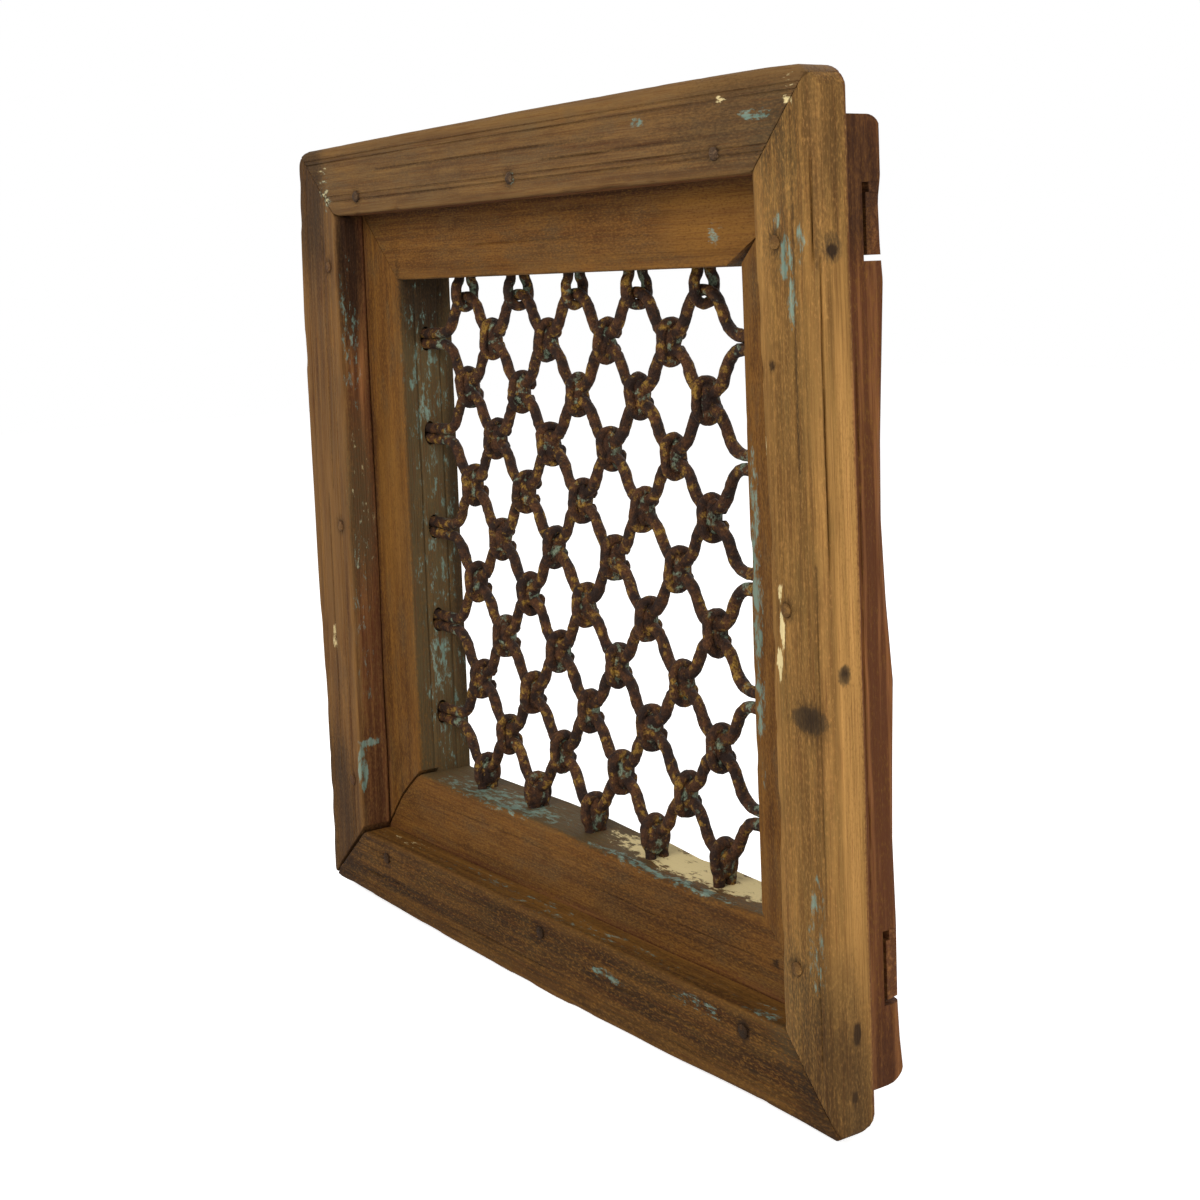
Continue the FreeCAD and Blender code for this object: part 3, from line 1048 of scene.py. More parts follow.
@dataclass
class Architrave(Joinery):
    """Four mitred boards nailed on the front, with scratched lines and worn outer edges."""

    finishes: Dict[Side, Material]
    mitre_gap: float = 0.35 * MM
    open_mitre_gap: float = 2.5 * MM
    line_insets: Pair = (12 * MM, 16 * MM)
    nail_dent: Pair = (8 * MM, 0.8 * MM)
    edge_reach: float = 22 * MM
    # Rounds of the outer corners: upper left, upper right, lower right and lower left
    corner_rounds: Tuple[float, float, float, float] = (25 * MM, 20 * MM, 12 * MM, 18 * MM)
    # The right board's foot has lost its lower rear corner
    foot_round: float = 20 * MM
    # The right board is wider from this height up to its top than the solid
    right_taper_z: float = 350 * MM
    right_taper: float = 6.5 * MM
    # What each outer edge has lost, in millimetres, at places along it
    lost_top: Pairs = ((-301, 4.5), (-129, 2.3), (14, 1.0), (77, 0.8), (189, 0.0), (286, 0.8), (330, 2.3))
    lost_bottom: Pairs = ((-292, 7.3), (-123, 2.7), (19, 0.0), (140, 1.6), (245, 4.0), (293, 3.6), (330, 2.5))
    lost_left: Pairs = ((73, 10.6), (133, 9.5), (252, 3.4), (371, 1.2), (488, 0.0), (604, 4.6))
    # Wear of the arrises; it reaches further down a board's outer side than down its inner one
    outer_wear: float = 0.62
    outer_wear_reach: float = 13 * MM
    outer_side: float = 0.55
    inner_wear: float = 0.4
    inner_wear_reach: float = 6 * MM
    inner_side: float = 1.4
    # The right board's big round has kept its brown; the pale strip on the side behind it is a painted highlight
    big_round: float = 10 * MM
    big_round_wear: float = 0.25
    # Where a board's inner side and its back begin
    inner_side_from: Pair = (3 * MM, 8 * MM)
    inner_side_band: float = 2.5 * MM
    back_band: float = 4 * MM
    inner_shelter: float = 0.8
    # The bottom board's inner side lies open to the light and has bleached
    bleached: float = 0.95
    # Dirt in the scratched lines, for each millimetre of depth, darkening in the dents, and dirt in the cracks,
    # all on the front
    line_grime: float = 0.3
    line_grime_reach: float = 1.1 * MM
    dent_grime: float = 0.75
    crack_grime: float = 0.45
    crack_grime_reach: float = 1.4
    front_depth: float = 6 * MM
    # Painted shade in the corner between the inner sides and the ledge
    corner_grime: float = 0.5
    bleached_corner_grime: float = 0.1
    corner_grime_reach: float = 4 * MM

    def timbers(self) -> Dict[Side, Timber]:
        """The four boards by side, with their own rounds and cracks.

        Returns:
            The boards before they are swept.
        """
        p = self.plan
        gap, wide_gap = self.mitre_gap, self.open_mitre_gap
        depth = p.ledge_y - p.front_y
        (inner_l, inner_r), (outer_l, outer_r) = p.board_inner_x, p.board_outer_x
        low, high, top = p.board_bottom_z, p.board_top_z, p.top_z

        def lines(width: float) -> List[float]:
            """Places across a board of its four scratched lines."""
            return [*self.line_insets, *(width - inset for inset in self.line_insets)]

        return {
            Side.BOTTOM: Timber(
                "worn_board_bottom", Run.LEVEL, low, -1, p.front_y, low, depth,
                ((inner_l + wide_gap, outer_l + wide_gap), (inner_r - gap, outer_r - gap)), seed=3,
                front_outer_round=4 * MM, scratches=lines(low), scratch_depth=0.7 * MM,
                dents=self.nail_dents(Side.BOTTOM, low),
                cracks=[Crack(-282 * MM, -162 * MM, 31 * MM),
                        Crack(-242 * MM, 48 * MM, 38 * MM, depth=1.6 * MM),
                        Crack(68 * MM, 298 * MM, 27 * MM, depth=1.4 * MM)],
            ),
            Side.RIGHT: Timber(
                "worn_board_right", Run.UPRIGHT, inner_r, 1, p.front_y, outer_r - inner_r, depth,
                ((low + gap, gap), (high - gap, top - gap)), seed=7, side_step=0.9 * MM,
                front_outer_round=11 * MM, back_outer_round=1.5 * MM,
                scratches=lines(outer_r - inner_r), scratch_depth=0.4 * MM, inset_reach=outer_r - inner_r,
                inner_inset=[(self.right_taper_z, 0.0), (high, -self.right_taper)],
                dents=[*self.nail_dents(Side.RIGHT, inner_r), (249 * MM, 32 * MM, 15 * MM, 0.8 * MM)],
                cracks=[Crack(504 * MM, 575 * MM, 47 * MM, depth=3 * MM, width=2.2 * MM),
                        Crack(330 * MM, 516 * MM, 54 * MM, depth=3.4 * MM, width=2.4 * MM),
                        Crack(39 * MM, 99 * MM, 34 * MM), Crack(129 * MM, 339 * MM, 41 * MM, depth=1.4 * MM),
                        Crack(389 * MM, 599 * MM, 30 * MM, depth=1.3 * MM)],
            ),
            Side.TOP: Timber(
                "worn_board_top", Run.LEVEL, high, 1, p.front_y, top - high, depth,
                ((inner_l + gap, outer_l + gap), (inner_r - self.right_taper - gap, outer_r - gap)), seed=13,
                front_outer_round=7 * MM, scratches=lines(top - high), dents=self.nail_dents(Side.TOP, high),
                cracks=[Crack(-192 * MM, 128 * MM, 33 * MM, depth=1.2 * MM),
                        Crack(48 * MM, 258 * MM, 24 * MM)],
            ),
            Side.LEFT: Timber(
                "worn_board_left", Run.UPRIGHT, inner_l, -1, p.front_y, inner_l - outer_l, depth,
                ((low + wide_gap, wide_gap), (high - gap, top - gap)), seed=19,
                scratches=lines(inner_l - outer_l), scratch_depth=0.7 * MM,
                dents=self.nail_dents(Side.LEFT, inner_l),
                cracks=[Crack(99 * MM, 339 * MM, 33 * MM, depth=1.6 * MM),
                        Crack(339 * MM, 569 * MM, 24 * MM)],
            ),
        }

    def nail_dents(self, side: Side, inner: float) -> List[Tuple[float, float, float, float]]:
        """Dents that the hammer left round the nails of a board: along, across, radius and depth."""
        along, beside = (0, 2) if side in (Side.TOP, Side.BOTTOM) else (2, 0)
        return [(place[along], abs(place[beside] - inner), *self.nail_dent) for place in nail_places(side)]

    def wear_edges(self, mesh: Mesh) -> None:
        """Rounds the outer corners of the architrave and draws its outer edges in.

        Args:
            mesh: mesh of a board, changed in place.
        """
        p = self.plan
        points = vertex_places(mesh)
        corners = ((End.LEFT, 1), (End.RIGHT, 1), (End.RIGHT, -1), (End.LEFT, -1))
        for radius, (end, up) in zip(self.corner_rounds, corners):
            edge_x, edge_z = end.of(p.board_outer_x), p.top_z if up > 0 else 0.0
            near_side, near_level = eased(end.value * (edge_x - points[:, 0]), up * (edge_z - points[:, 2]),
                                          np.full(len(points), radius))
            points[:, 0] = edge_x - end.value * near_side
            points[:, 2] = edge_z - up * near_level
        foot_round = np.where(points[:, 0] > p.board_inner_x[1], self.foot_round, 0.0)
        from_back, points[:, 2] = eased(p.ledge_y - points[:, 1], points[:, 2], foot_round)
        points[:, 1] = p.ledge_y - from_back
        for pairs, along, out, sign, edge in (
            (self.lost_top, 0, 2, 1, p.top_z), (self.lost_bottom, 0, 2, -1, 0.0),
            (self.lost_left, 2, 0, -1, p.board_outer_x[0]),
        ):
            places, lost = np.array(pairs).T * MM
            share = np.clip(1 - sign * (edge - points[:, out]) / self.edge_reach, 0, 1)
            points[:, out] -= sign * share * np.interp(points[:, along], places, lost)
        move_vertices(mesh, points)

    def wear_values(self, piece: Piece, timber: Timber) -> Dict[Stain, Array]:
        """Wear of edges, dirt in lines, darkening round nails, painted shade in the inner corner and shelter of
        hidden sides.

        Args:
            piece: the finished board.
            timber: the board that it was made from.

        Returns:
            Values for each vertex.
        """
        points = vertex_places(piece.data)
        level = timber.run is Run.LEVEL
        along, beside = (points[:, 0], points[:, 2]) if level else (points[:, 2], points[:, 0])
        across = timber.outward * (beside - timber.inner)
        deep = points[:, 1] - timber.front
        to_outer = np.hypot(np.maximum(timber.width - across, 0), deep * self.outer_side)
        to_inner = np.hypot(np.maximum(across, 0), deep * self.inner_side)
        rubbed = self.big_round_wear if timber.front_outer_round > self.big_round else self.outer_wear
        worn = rubbed * faded(to_outer, self.outer_wear_reach)
        worn += self.inner_wear * faded(to_inner, self.inner_wear_reach)
        grime = np.zeros(len(points))
        for middle in timber.scratches:
            most = self.line_grime * timber.scratch_depth / MM
            grime = np.maximum(grime, most * faded(across - middle, self.line_grime_reach))
        for place, inset, radius, _ in timber.dents:
            away = np.hypot(along - place, across - inset)
            grime = np.maximum(grime, self.dent_grime * faded(away, radius))
        for crack in timber.cracks:
            if crack.girth < timber.width:
                beside_crack = np.abs(across - crack.girth) / crack.width
                in_crack = np.clip(self.crack_grime_reach - beside_crack, 0, 1)
                in_crack *= (along > crack.start) & (along < crack.stop)
                grime = np.maximum(grime, self.crack_grime * in_crack)
        grime *= deep < self.front_depth
        inside = ramp(deep, *self.inner_side_from) * ramp(across, self.inner_side_band, 0)
        # Painted shade: darker where the inner side meets the ledge
        corner = inside * faded(timber.depth - deep, self.corner_grime_reach)
        if level and timber.outward < 0:
            return {Stain.WORN: np.maximum(worn, self.bleached * inside),
                    Stain.GRIME: np.maximum(grime, self.bleached_corner_grime * corner)}
        behind = ramp(deep, timber.depth - self.back_band, timber.depth)
        return {Stain.WORN: worn, Stain.SHELTERED: np.maximum(self.inner_shelter * inside, behind),
                Stain.GRIME: np.maximum(grime, self.corner_grime * corner)}

    def build(self) -> None:
        """Makes the four boards and dresses them."""
        for side, timber in self.timbers().items():
            piece = timber.build()
            self.wear_edges(piece.data)
            self.dress(piece, timber, self.wear_values(piece, timber), self.finishes[side])
            hand_over(piece, f"architrave_{side}")


@dataclass
class BoxFrame(Joinery):
    """Deep box frame behind the boards: head, sill and jambs with mitred faces and wedged tenons."""

    finish: Material
    mitre_depth: float = 18 * MM
    mitre_lap: float = 0.2 * MM
    tenon_height: float = 36 * MM
    tenon_front_gap: float = 2 * MM
    tenon_proud: float = 2.5 * MM
    tenon_gap: float = 3.5 * MM
    wedge_bite: float = 0.5 * MM
    wedge_inset: float = 0.1 * MM
    wedge_round: float = 0.4 * MM
    wedge_seed: int = 41
    shoulder_gap: float = 0.3 * MM
    open_corner_gap: float = 1.8 * MM
    open_corner_bow: float = 4 * MM
    # The head's lower right corner has split off at the mitre: width, height and depth
    corner_chip: Triple = (20 * MM, 19 * MM, 20 * MM)
    horn_round: float = 15 * MM
    top_round: float = 10 * MM
    # Rounds of the outer rear arrises, in millimetres, at heights
    rear_wear: Pairs = ((14, 3), (40, 8), (64, 10), (113, 9), (163, 11), (211, 8), (260, 4), (308, 11),
                        (357, 15), (404, 13), (452, 8), (499, 3), (520, 6), (546, 7), (560, 3))
    # What the sill's upper front edge has lost, in millimetres, at places along it
    sill_wear: Pairs = ((-211, 0.5), (-130, 1.4), (-60, 0.4), (-5, 1.4), (35, 4.2), (68, 3.0), (105, 6.4),
                        (143, 5.0), (180, 6.4), (227, 4.0))
    # Two grooves run down each reveal, at these distances from the ledge
    groove_insets: Pair = (15 * MM, 36 * MM)
    # Half the width and half the height of a rod hole, and its depth
    rod_hole: Pair = (5.2 * MM, 9.8 * MM)
    rod_insert: float = 32 * MM
    hole_sides: int = 24
    # How far a cut runs past the timber that it is made in
    clear: float = 6 * MM
    # Wear of the ledge's edge, dust in the opening, and painted shade and shelter next to the boards
    edge_wear: float = 0.42
    edge_wear_reach: float = 9 * MM
    dust: float = 0.85
    dust_from: Pair = (-12 * MM, -4 * MM)
    dust_depth: float = 4 * MM
    board_shelter: float = 0.6
    board_shelter_from: Pair = (6 * MM, -2 * MM)
    side_shelter: float = 0.8
    side_shelter_depth: float = 6 * MM
    # Faces that look this far forward or less are sides
    side_facing: Pair = (-0.75, -0.25)
    # Painted shade: a dark band on the ledge along the foot of the boards, fainter on the sill
    foot_grime: float = 0.45
    sill_foot_grime: float = 0.15
    foot_grime_at: float = 0.5 * MM
    foot_grime_reach: float = 3.5 * MM
    ledge_depth: float = 5 * MM

    def rails(self) -> Dict[Rail, Timber]:
        """The head and the sill at their full length, before the joints are cut.

        Returns:
            The rails before they are swept.
        """
        p = self.plan
        (_, inner_r), (outer_l, outer_r) = p.jamb_inner_x, p.jamb_outer_x
        width, depth = outer_r - inner_r, p.rear_y - p.ledge_y
        ends = ((outer_l, outer_l), (outer_r, outer_r))
        return {
            Rail.HEAD: Timber(
                "worn_head", Run.LEVEL, p.head_z, 1, p.ledge_y, width, depth, ends, seed=23,
                scratches=[7 * MM, 10.5 * MM], scratch_depth=0.6 * MM,
                cracks=[Crack(-172 * MM, 68 * MM, 24 * MM, depth=1.3 * MM)],
            ),
            Rail.SILL: Timber(
                "worn_sill", Run.LEVEL, p.sill_z, -1, p.ledge_y, width, depth, ends, seed=29,
                front_inner_round=5 * MM, round_sway=0.5, chips=5 * MM,
                inner_inset=(np.array(self.sill_wear) * MM).tolist(),
                cracks=[Crack(-182 * MM, 38 * MM, 20 * MM, depth=1.3 * MM),
                        Crack(28 * MM, 228 * MM, 33 * MM, depth=1.5 * MM)],
            ),
        }

    def jambs(self) -> Dict[End, Timber]:
        """The jambs at their full length, before the joints are cut.

        Returns:
            The jambs before they are swept.
        """
        p = self.plan
        (inner_l, inner_r), (_, outer_r) = p.jamb_inner_x, p.jamb_outer_x
        width, depth = outer_r - inner_r, p.rear_y - p.ledge_y
        ends = ((p.jamb_bottom_z, p.jamb_bottom_z), (p.jamb_top_z, p.jamb_top_z))
        round_inside = 2 * width + depth
        grooves = [Crack(100 * MM, 520 * MM, round_inside + depth - inset, 2.6 * MM, 1.6 * MM, 0.5 * MM)
                   for inset in self.groove_insets]
        return {
            End.LEFT: Timber(
                "worn_jamb_left", Run.UPRIGHT, inner_l, -1, p.ledge_y, width, depth, ends, seed=31,
                back_outer_round=1 * MM, back_inner_round=0.7 * MM, side_step=0.8 * MM,
                cracks=[Crack(119 * MM, 309 * MM, 17 * MM, depth=1.3 * MM), *grooves],
            ),
            End.RIGHT: Timber(
                "worn_jamb_right", Run.UPRIGHT, inner_r, 1, p.ledge_y, width, depth, ends, seed=37,
                back_outer_round=1 * MM, side_step=0.8 * MM,
                cracks=[Crack(129 * MM, 469 * MM, 101 * MM), Crack(309 * MM, 579 * MM, 92 * MM), *grooves],
            ),
        }

    def tenon(self, rail: Rail) -> Pair:
        """Lower and upper height of a rail's tenons, from the wedge that sits on them."""
        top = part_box(f"{rail}_wedge_right")[0].z
        return top - self.tenon_height, top

    def mitre_outline(self, end: End, rail: Rail, off_rail: bool, gap: float) -> Pairs:
        """Outline, across and up, of what is cut off a rail or a jamb at a mitred corner.

        Args:
            end: end of the rail.
            rail: head or sill.
            off_rail: whether it comes off the rail, or off the jamb.
            gap: distance that the cut stands off the mitre line.

        Returns:
            Corners of the outline.
        """
        p = self.plan
        up = rail.up
        inner_x, outer_x = end.of(p.jamb_inner_x), end.of(p.jamb_outer_x)
        inner_z = p.head_z if rail is Rail.HEAD else p.sill_z
        reach = abs(outer_x - inner_x)
        shift = -gap if off_rail else gap
        start, stop = -self.clear, reach + (self.clear if off_rail else 0)
        near = (inner_x + end.value * (start + shift), inner_z + up * start)
        far = (inner_x + end.value * (stop + shift), inner_z + up * stop)
        past = outer_x + 2 * end.value * self.clear if off_rail else inner_x - 4 * end.value * self.clear
        outline = [near, (past, near[1]), (past, far[1]), far]
        if self.opened(end, rail):
            # The open joint is bowed towards the jamb, from the inner corner to the board
            for share in (0.55, 0.4, 0.25):
                bow = self.open_corner_bow * math.sin(math.pi * (share - 0.07) / 0.7)
                outline.append((near[0] + (far[0] - near[0]) * share + end.value * bow,
                                near[1] + (far[1] - near[1]) * share - up * bow))
        return outline

    @staticmethod
    def opened(end: End, rail: Rail) -> bool:
        """Whether a mitred corner has opened: the lower left one has."""
        return end is End.LEFT and rail is Rail.SILL

    def corner_gap(self, end: End, rail: Rail) -> float:
        """Half the gap of a mitred corner."""
        return self.open_corner_gap if self.opened(end, rail) else self.shoulder_gap

    def cut_rail(self, piece: Piece, rail: Rail) -> None:
        """Cuts a rail's mitred front and the shoulders of its tenons.

        Args:
            piece: the rail at its full length.
            rail: head or sill.
        """
        p = self.plan
        front_y, mitre_y = p.ledge_y - self.clear, p.ledge_y + self.mitre_depth
        tenon_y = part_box(f"{rail}_wedge_right")[0].y - self.tenon_proud
        low, high = self.tenon(rail)
        high += self.wedge_bite
        bottom, top = (p.head_z, p.head_top_z) if rail is Rail.HEAD else (p.sill_under_z, p.sill_z)
        bottom, top, back = bottom - self.clear, top + self.clear, p.rear_y + self.clear
        shoulder = [(mitre_y, bottom), (back, bottom), (back, low), (tenon_y, low), (tenon_y, high),
                    (back, high), (back, top), (mitre_y, top)]
        fronts, shoulders = [], []
        for end in End:
            outline = self.mitre_outline(end, rail, True, self.corner_gap(end, rail) - self.shoulder_gap)
            fronts.append(prism(outline, 1, (front_y, mitre_y + self.mitre_lap)))
            shoulder_x = end.of(p.jamb_inner_x) + end.value * self.shoulder_gap
            past_x = end.of(p.jamb_outer_x) + end.value * self.clear
            shoulders.append(prism(shoulder, 0, (shoulder_x, past_x)))
        cut_out(piece, fronts)
        cut_out(piece, shoulders)
        if rail is Rail.HEAD:
            wide, tall, deep = self.corner_chip
            corner_x, under_z = p.jamb_inner_x[1], p.head_z - self.clear
            chip = [(corner_x + tall, p.head_z + tall), (corner_x - self.clear, under_z),
                    (corner_x - wide - self.clear, under_z)]
            cut_out(piece, [prism(chip, 1, (front_y, p.ledge_y + deep))])

    def cut_jamb(self, piece: Piece, end: End) -> None:
        """Cuts a jamb's mitred corners, tenon slots and rod holes.

        Args:
            piece: the jamb at its full length.
            end: side of the window that the jamb is on.
        """
        p = self.plan
        blocks = []
        inner_x, outer_x = end.of(p.jamb_inner_x), end.of(p.jamb_outer_x)
        before_x = inner_x - end.value * self.clear
        for rail in Rail:
            outline = self.mitre_outline(end, rail, False, self.corner_gap(end, rail))
            blocks.append(prism(outline, 1, (p.ledge_y - self.clear, p.ledge_y + self.mitre_depth)))
            wedge_low, wedge_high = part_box(f"{rail}_wedge_right")
            front = wedge_low.y - self.tenon_proud - self.tenon_front_gap
            under, back = self.tenon(rail)[0] - self.tenon_gap, p.rear_y + self.clear
            over = wedge_high.z - self.wedge_bite
            slot = [(front, under), (back, under), (back, over), (front, over)]
            blocks.append(prism(slot, 0, (before_x, outer_x + end.value * self.clear)))
        for row in range(1, 10, 2):
            low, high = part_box(f"ring_row_{row}")
            middle_y, middle_z = (low.y + high.y) / 2, (low.z + high.z) / 2
            half_wide, half_tall = self.rod_hole
            hole = [(middle_y + half_wide * math.cos(turn), middle_z + half_tall * math.sin(turn))
                    for turn in np.linspace(0, 2 * math.pi, self.hole_sides + 1)[:-1]]
            blocks.append(prism(hole, 0, (before_x, inner_x + end.value * self.rod_insert)))
        cut_out(piece, blocks)

    def round_horn(self, mesh: Mesh) -> None:
        """Rounds the lower rear corner of a jamb, and its upper one a little.

        Args:
            mesh: mesh of the jamb, changed in place.
        """
        p = self.plan
        points = self.worn_behind(vertex_places(mesh))
        from_back, from_foot = p.rear_y - points[:, 1], points[:, 2] - p.jamb_bottom_z
        from_back, from_foot = eased(from_back, from_foot, np.full(len(points), self.horn_round))
        from_top = p.jamb_top_z - (from_foot + p.jamb_bottom_z)
        from_back, from_top = eased(from_back, from_top, np.full(len(points), self.top_round))
        points[:, 1] = p.rear_y - from_back
        points[:, 2] = p.jamb_top_z - from_top
        move_vertices(mesh, points)

    def worn_behind(self, points: Array) -> Array:
        """Rounds the outer rear arrises, as far as they are worn at each height.

        Args:
            points: places of a timber.

        Returns:
            The places after rounding.
        """
        heights, rounds = np.array(self.rear_wear).T * MM
        radius = np.interp(points[:, 2], heights, rounds)
        worn = points.copy()
        rear = self.plan.rear_y
        for end in End:
            edge = end.of(self.plan.jamb_outer_x)
            from_side, from_back = eased(end.value * (edge - worn[:, 0]), rear - worn[:, 1], radius)
            worn[:, 0] = edge - end.value * from_side
            worn[:, 1] = rear - from_back
        return worn

    def round_tenons(self, mesh: Mesh) -> None:
        """Rounds the rear corners of tenons and wedges as the jambs round them are worn."""
        move_vertices(mesh, self.worn_behind(vertex_places(mesh)))

    def wear_values(self, mesh: Mesh) -> Dict[Stain, Array]:
        """Wear of the ledge's edge, dust in the opening, painted shade along the boards and shelter elsewhere.

        Args:
            mesh: mesh of the finished timber.

        Returns:
            Values for each vertex.
        """
        p = self.plan
        points, facing = vertex_places(mesh), three_each(mesh.vertex_normals, "vector")[:, 1]
        deep = points[:, 1] - p.ledge_y
        inward = p.inside(points, p.jamb_inner_x, (p.sill_z, p.head_z))
        worn = self.edge_wear * faded(np.hypot(np.minimum(inward, 0), deep), self.edge_wear_reach)
        reveal = ramp(inward, *self.dust_from) * ramp(deep, 0, self.dust_depth)
        shown = p.inside(points, p.board_inner_x, (p.board_bottom_z, p.board_top_z))
        under_board = self.board_shelter * ramp(shown, *self.board_shelter_from)
        aside = ramp(facing, *self.side_facing) * ramp(deep, 0, self.side_shelter_depth)
        # Painted shade along the foot of the boards
        foot = np.where(points[:, 2] < p.sill_z, self.sill_foot_grime, self.foot_grime)
        foot *= faded(shown - self.foot_grime_at, self.foot_grime_reach) * (deep < self.ledge_depth)
        return {Stain.WORN: worn, Stain.DUSTY: self.dust * reveal, Stain.GRIME: foot,
                Stain.SHELTERED: np.maximum(self.side_shelter * aside * (1 - reveal), under_board)}

    def wedges(self) -> None:
        """Makes the four wedges over the tenons as small worn timbers."""
        inset, arris = self.wedge_inset, self.wedge_round
        for rail, end in itertools.product(Rail, End):
            node = f"{rail}_wedge_{end.name.lower()}"
            low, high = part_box(node)
            ends = ((low.x + inset,) * 2, (high.x - inset,) * 2)
            timber = Timber(
                f"worn_{node}", Run.LEVEL, low.z + inset, 1, low.y, high.z - low.z - 2 * inset, high.y - low.y,
                ends, seed=self.wedge_seed + len(node), front_inner_round=arris, front_outer_round=arris,
                back_outer_round=arris, back_inner_round=arris, broad_wave=0.1 * MM, ridge=0.1 * MM,
                chips=0.2 * MM, end_drop=0.2 * MM, back_step=1.5 * MM,
            )
            piece = timber.build()
            self.round_tenons(piece.data)
            shade = np.full(len(piece.data.vertices), self.side_shelter)
            self.dress(piece, timber, {Stain.SHELTERED: shade}, self.finish)
            hand_over(piece, node)

    def build(self) -> None:
        """Makes the rails, the jambs and the wedges, cuts their joints and dresses them."""
        for place, timber in {**self.rails(), **self.jambs()}.items():
            piece = timber.build()
            if isinstance(place, Rail):
                node = place.value
                self.cut_rail(piece, place)
                self.round_tenons(piece.data)
            else:
                node = f"jamb_{place.name.lower()}"
                self.cut_jamb(piece, place)
                self.round_horn(piece.data)
            self.dress(piece, timber, self.wear_values(piece.data), self.finish)
            hand_over(piece, node)
        self.wedges()


@dataclass
class Bar:
    """A forged bar along a path, with its width, the hammer's unevenness and the taper of its ends."""

    path: Array
    radius: float
    seed: int
    sides: int = 14
    lump: float = 0.55 * MM
    lump_size: float = 7 * MM
    # Smaller lumps lie on the lumps
    small_share: float = 0.6
    small_size: float = 0.4
    taper: float = 0.0
    blunt: float = 0.25

    def shell(self) -> Shell:
        """Points of the bar's skin, ring by ring, and its faces.

        Returns:
            Points and faces.
        """
        run = np.gradient(self.path, axis=0)
        run /= np.linalg.norm(run, axis=1)[:, None]
        side = self.sides_along(run)
        other = np.cross(run, side)
        turn = np.linspace(0, 2 * math.pi, self.sides, endpoint=False)[None, :, None]
        spoke = side[:, None, :] * np.cos(turn) + other[:, None, :] * np.sin(turn)
        run_length = np.concatenate([[0], np.cumsum(np.linalg.norm(np.diff(self.path, axis=0), axis=1))])
        to_end = np.minimum(run_length, run_length[-1] - run_length) / max(self.taper, TINY)
        radius = self.radius * np.sqrt(np.clip(self.blunt + to_end, 0, 1))
        skin = self.path[:, None, :] + spoke * radius[:, None, None]
        lumps = soft_noise(skin / self.lump_size, self.seed)
        small_lumps = soft_noise(skin / (self.small_size * self.lump_size), self.seed + 5)
        lumps = lumps + self.small_share * small_lumps
        skin = skin + spoke * (self.lump * lumps)[..., None]
        return skin.reshape(-1, 3), tube_faces(len(self.path), self.sides)

    @staticmethod
    def sides_along(run: Array) -> Array:
        """Side directions along a path, carried on without twist.

        Args:
            run: unit directions of the path.

        Returns:
            One unit side direction for each station.
        """
        start = np.cross(run[0], (0.0, 0.0, 1.0) if abs(run[0][2]) < 0.8 else (1.0, 0.0, 0.0))
        sides = [start / np.linalg.norm(start)]
        for direction in run[1:]:
            carried = sides[-1] - direction * float(np.dot(sides[-1], direction))
            sides.append(carried / np.linalg.norm(carried))
        return np.array(sides)


@dataclass
class Clog:
    """Rust and old paint that fill the middle of a knot: an uneven ball."""

    middle: Array
    half: Triple
    seed: int
    rings: int = 12
    sides: int = 18
    pole: float = 0.08
    fullness: float = 0.8
    unevenness: float = 0.25

    def shell(self) -> Shell:
        """Points of the ball, ring by ring from its top, and its faces.

        Returns:
            Points and faces.
        """
        polar = np.linspace(self.pole, math.pi - self.pole, self.rings)[:, None]
        turn = np.linspace(0, 2 * math.pi, self.sides, endpoint=False)[None, :]
        level = np.cos(polar) + np.zeros((self.rings, self.sides))
        ball = np.stack([np.sin(polar) * np.cos(turn), np.sin(polar) * np.sin(turn), level], axis=-1)
        ball = np.sign(ball) * np.abs(ball) ** self.fullness
        uneven = 1 + self.unevenness * soft_noise(ball * 1.7 + 0.37 * self.seed, self.seed)
        points = self.middle + ball * np.array(self.half) * uneven[..., None]
        return points.reshape(-1, 3), tube_faces(self.rings, self.sides)


@dataclass(frozen=True)
class Line:
    """A straight run of a bar's middle line, in one plane."""

    first: Pair
    last: Pair

    def places(self, step: float) -> Array:
        """Places along the run, about a step apart."""
        first, last = np.array(self.first), np.array(self.last)
        count = max(2, round(float(np.linalg.norm(last - first)) / step) + 1)
        return first + (last - first) * np.linspace(0, 1, count)[:, None]


@dataclass(frozen=True)
class Arc:
    """A bend of a bar's middle line, in one plane, from one angle to another."""

    middle: Pair
    radius: float
    start: float
    stop: float

    def places(self, step: float) -> Array:
        """Places along the bend, about a step apart."""
        count = max(4, round(self.radius * abs(self.stop - self.start) / step) + 1)
        angles = np.linspace(self.start, self.stop, count)
        return np.array(self.middle) + self.radius * np.stack([np.cos(angles), np.sin(angles)], axis=1)


def bent(stretches: Sequence[Union[Line, Arc]], step: float) -> Array:
    """Places along runs and bends that follow each other, about a step apart."""
    first, *others = [stretch.places(step) for stretch in stretches]
    return np.concatenate([first, *(places[1:] for places in others)])


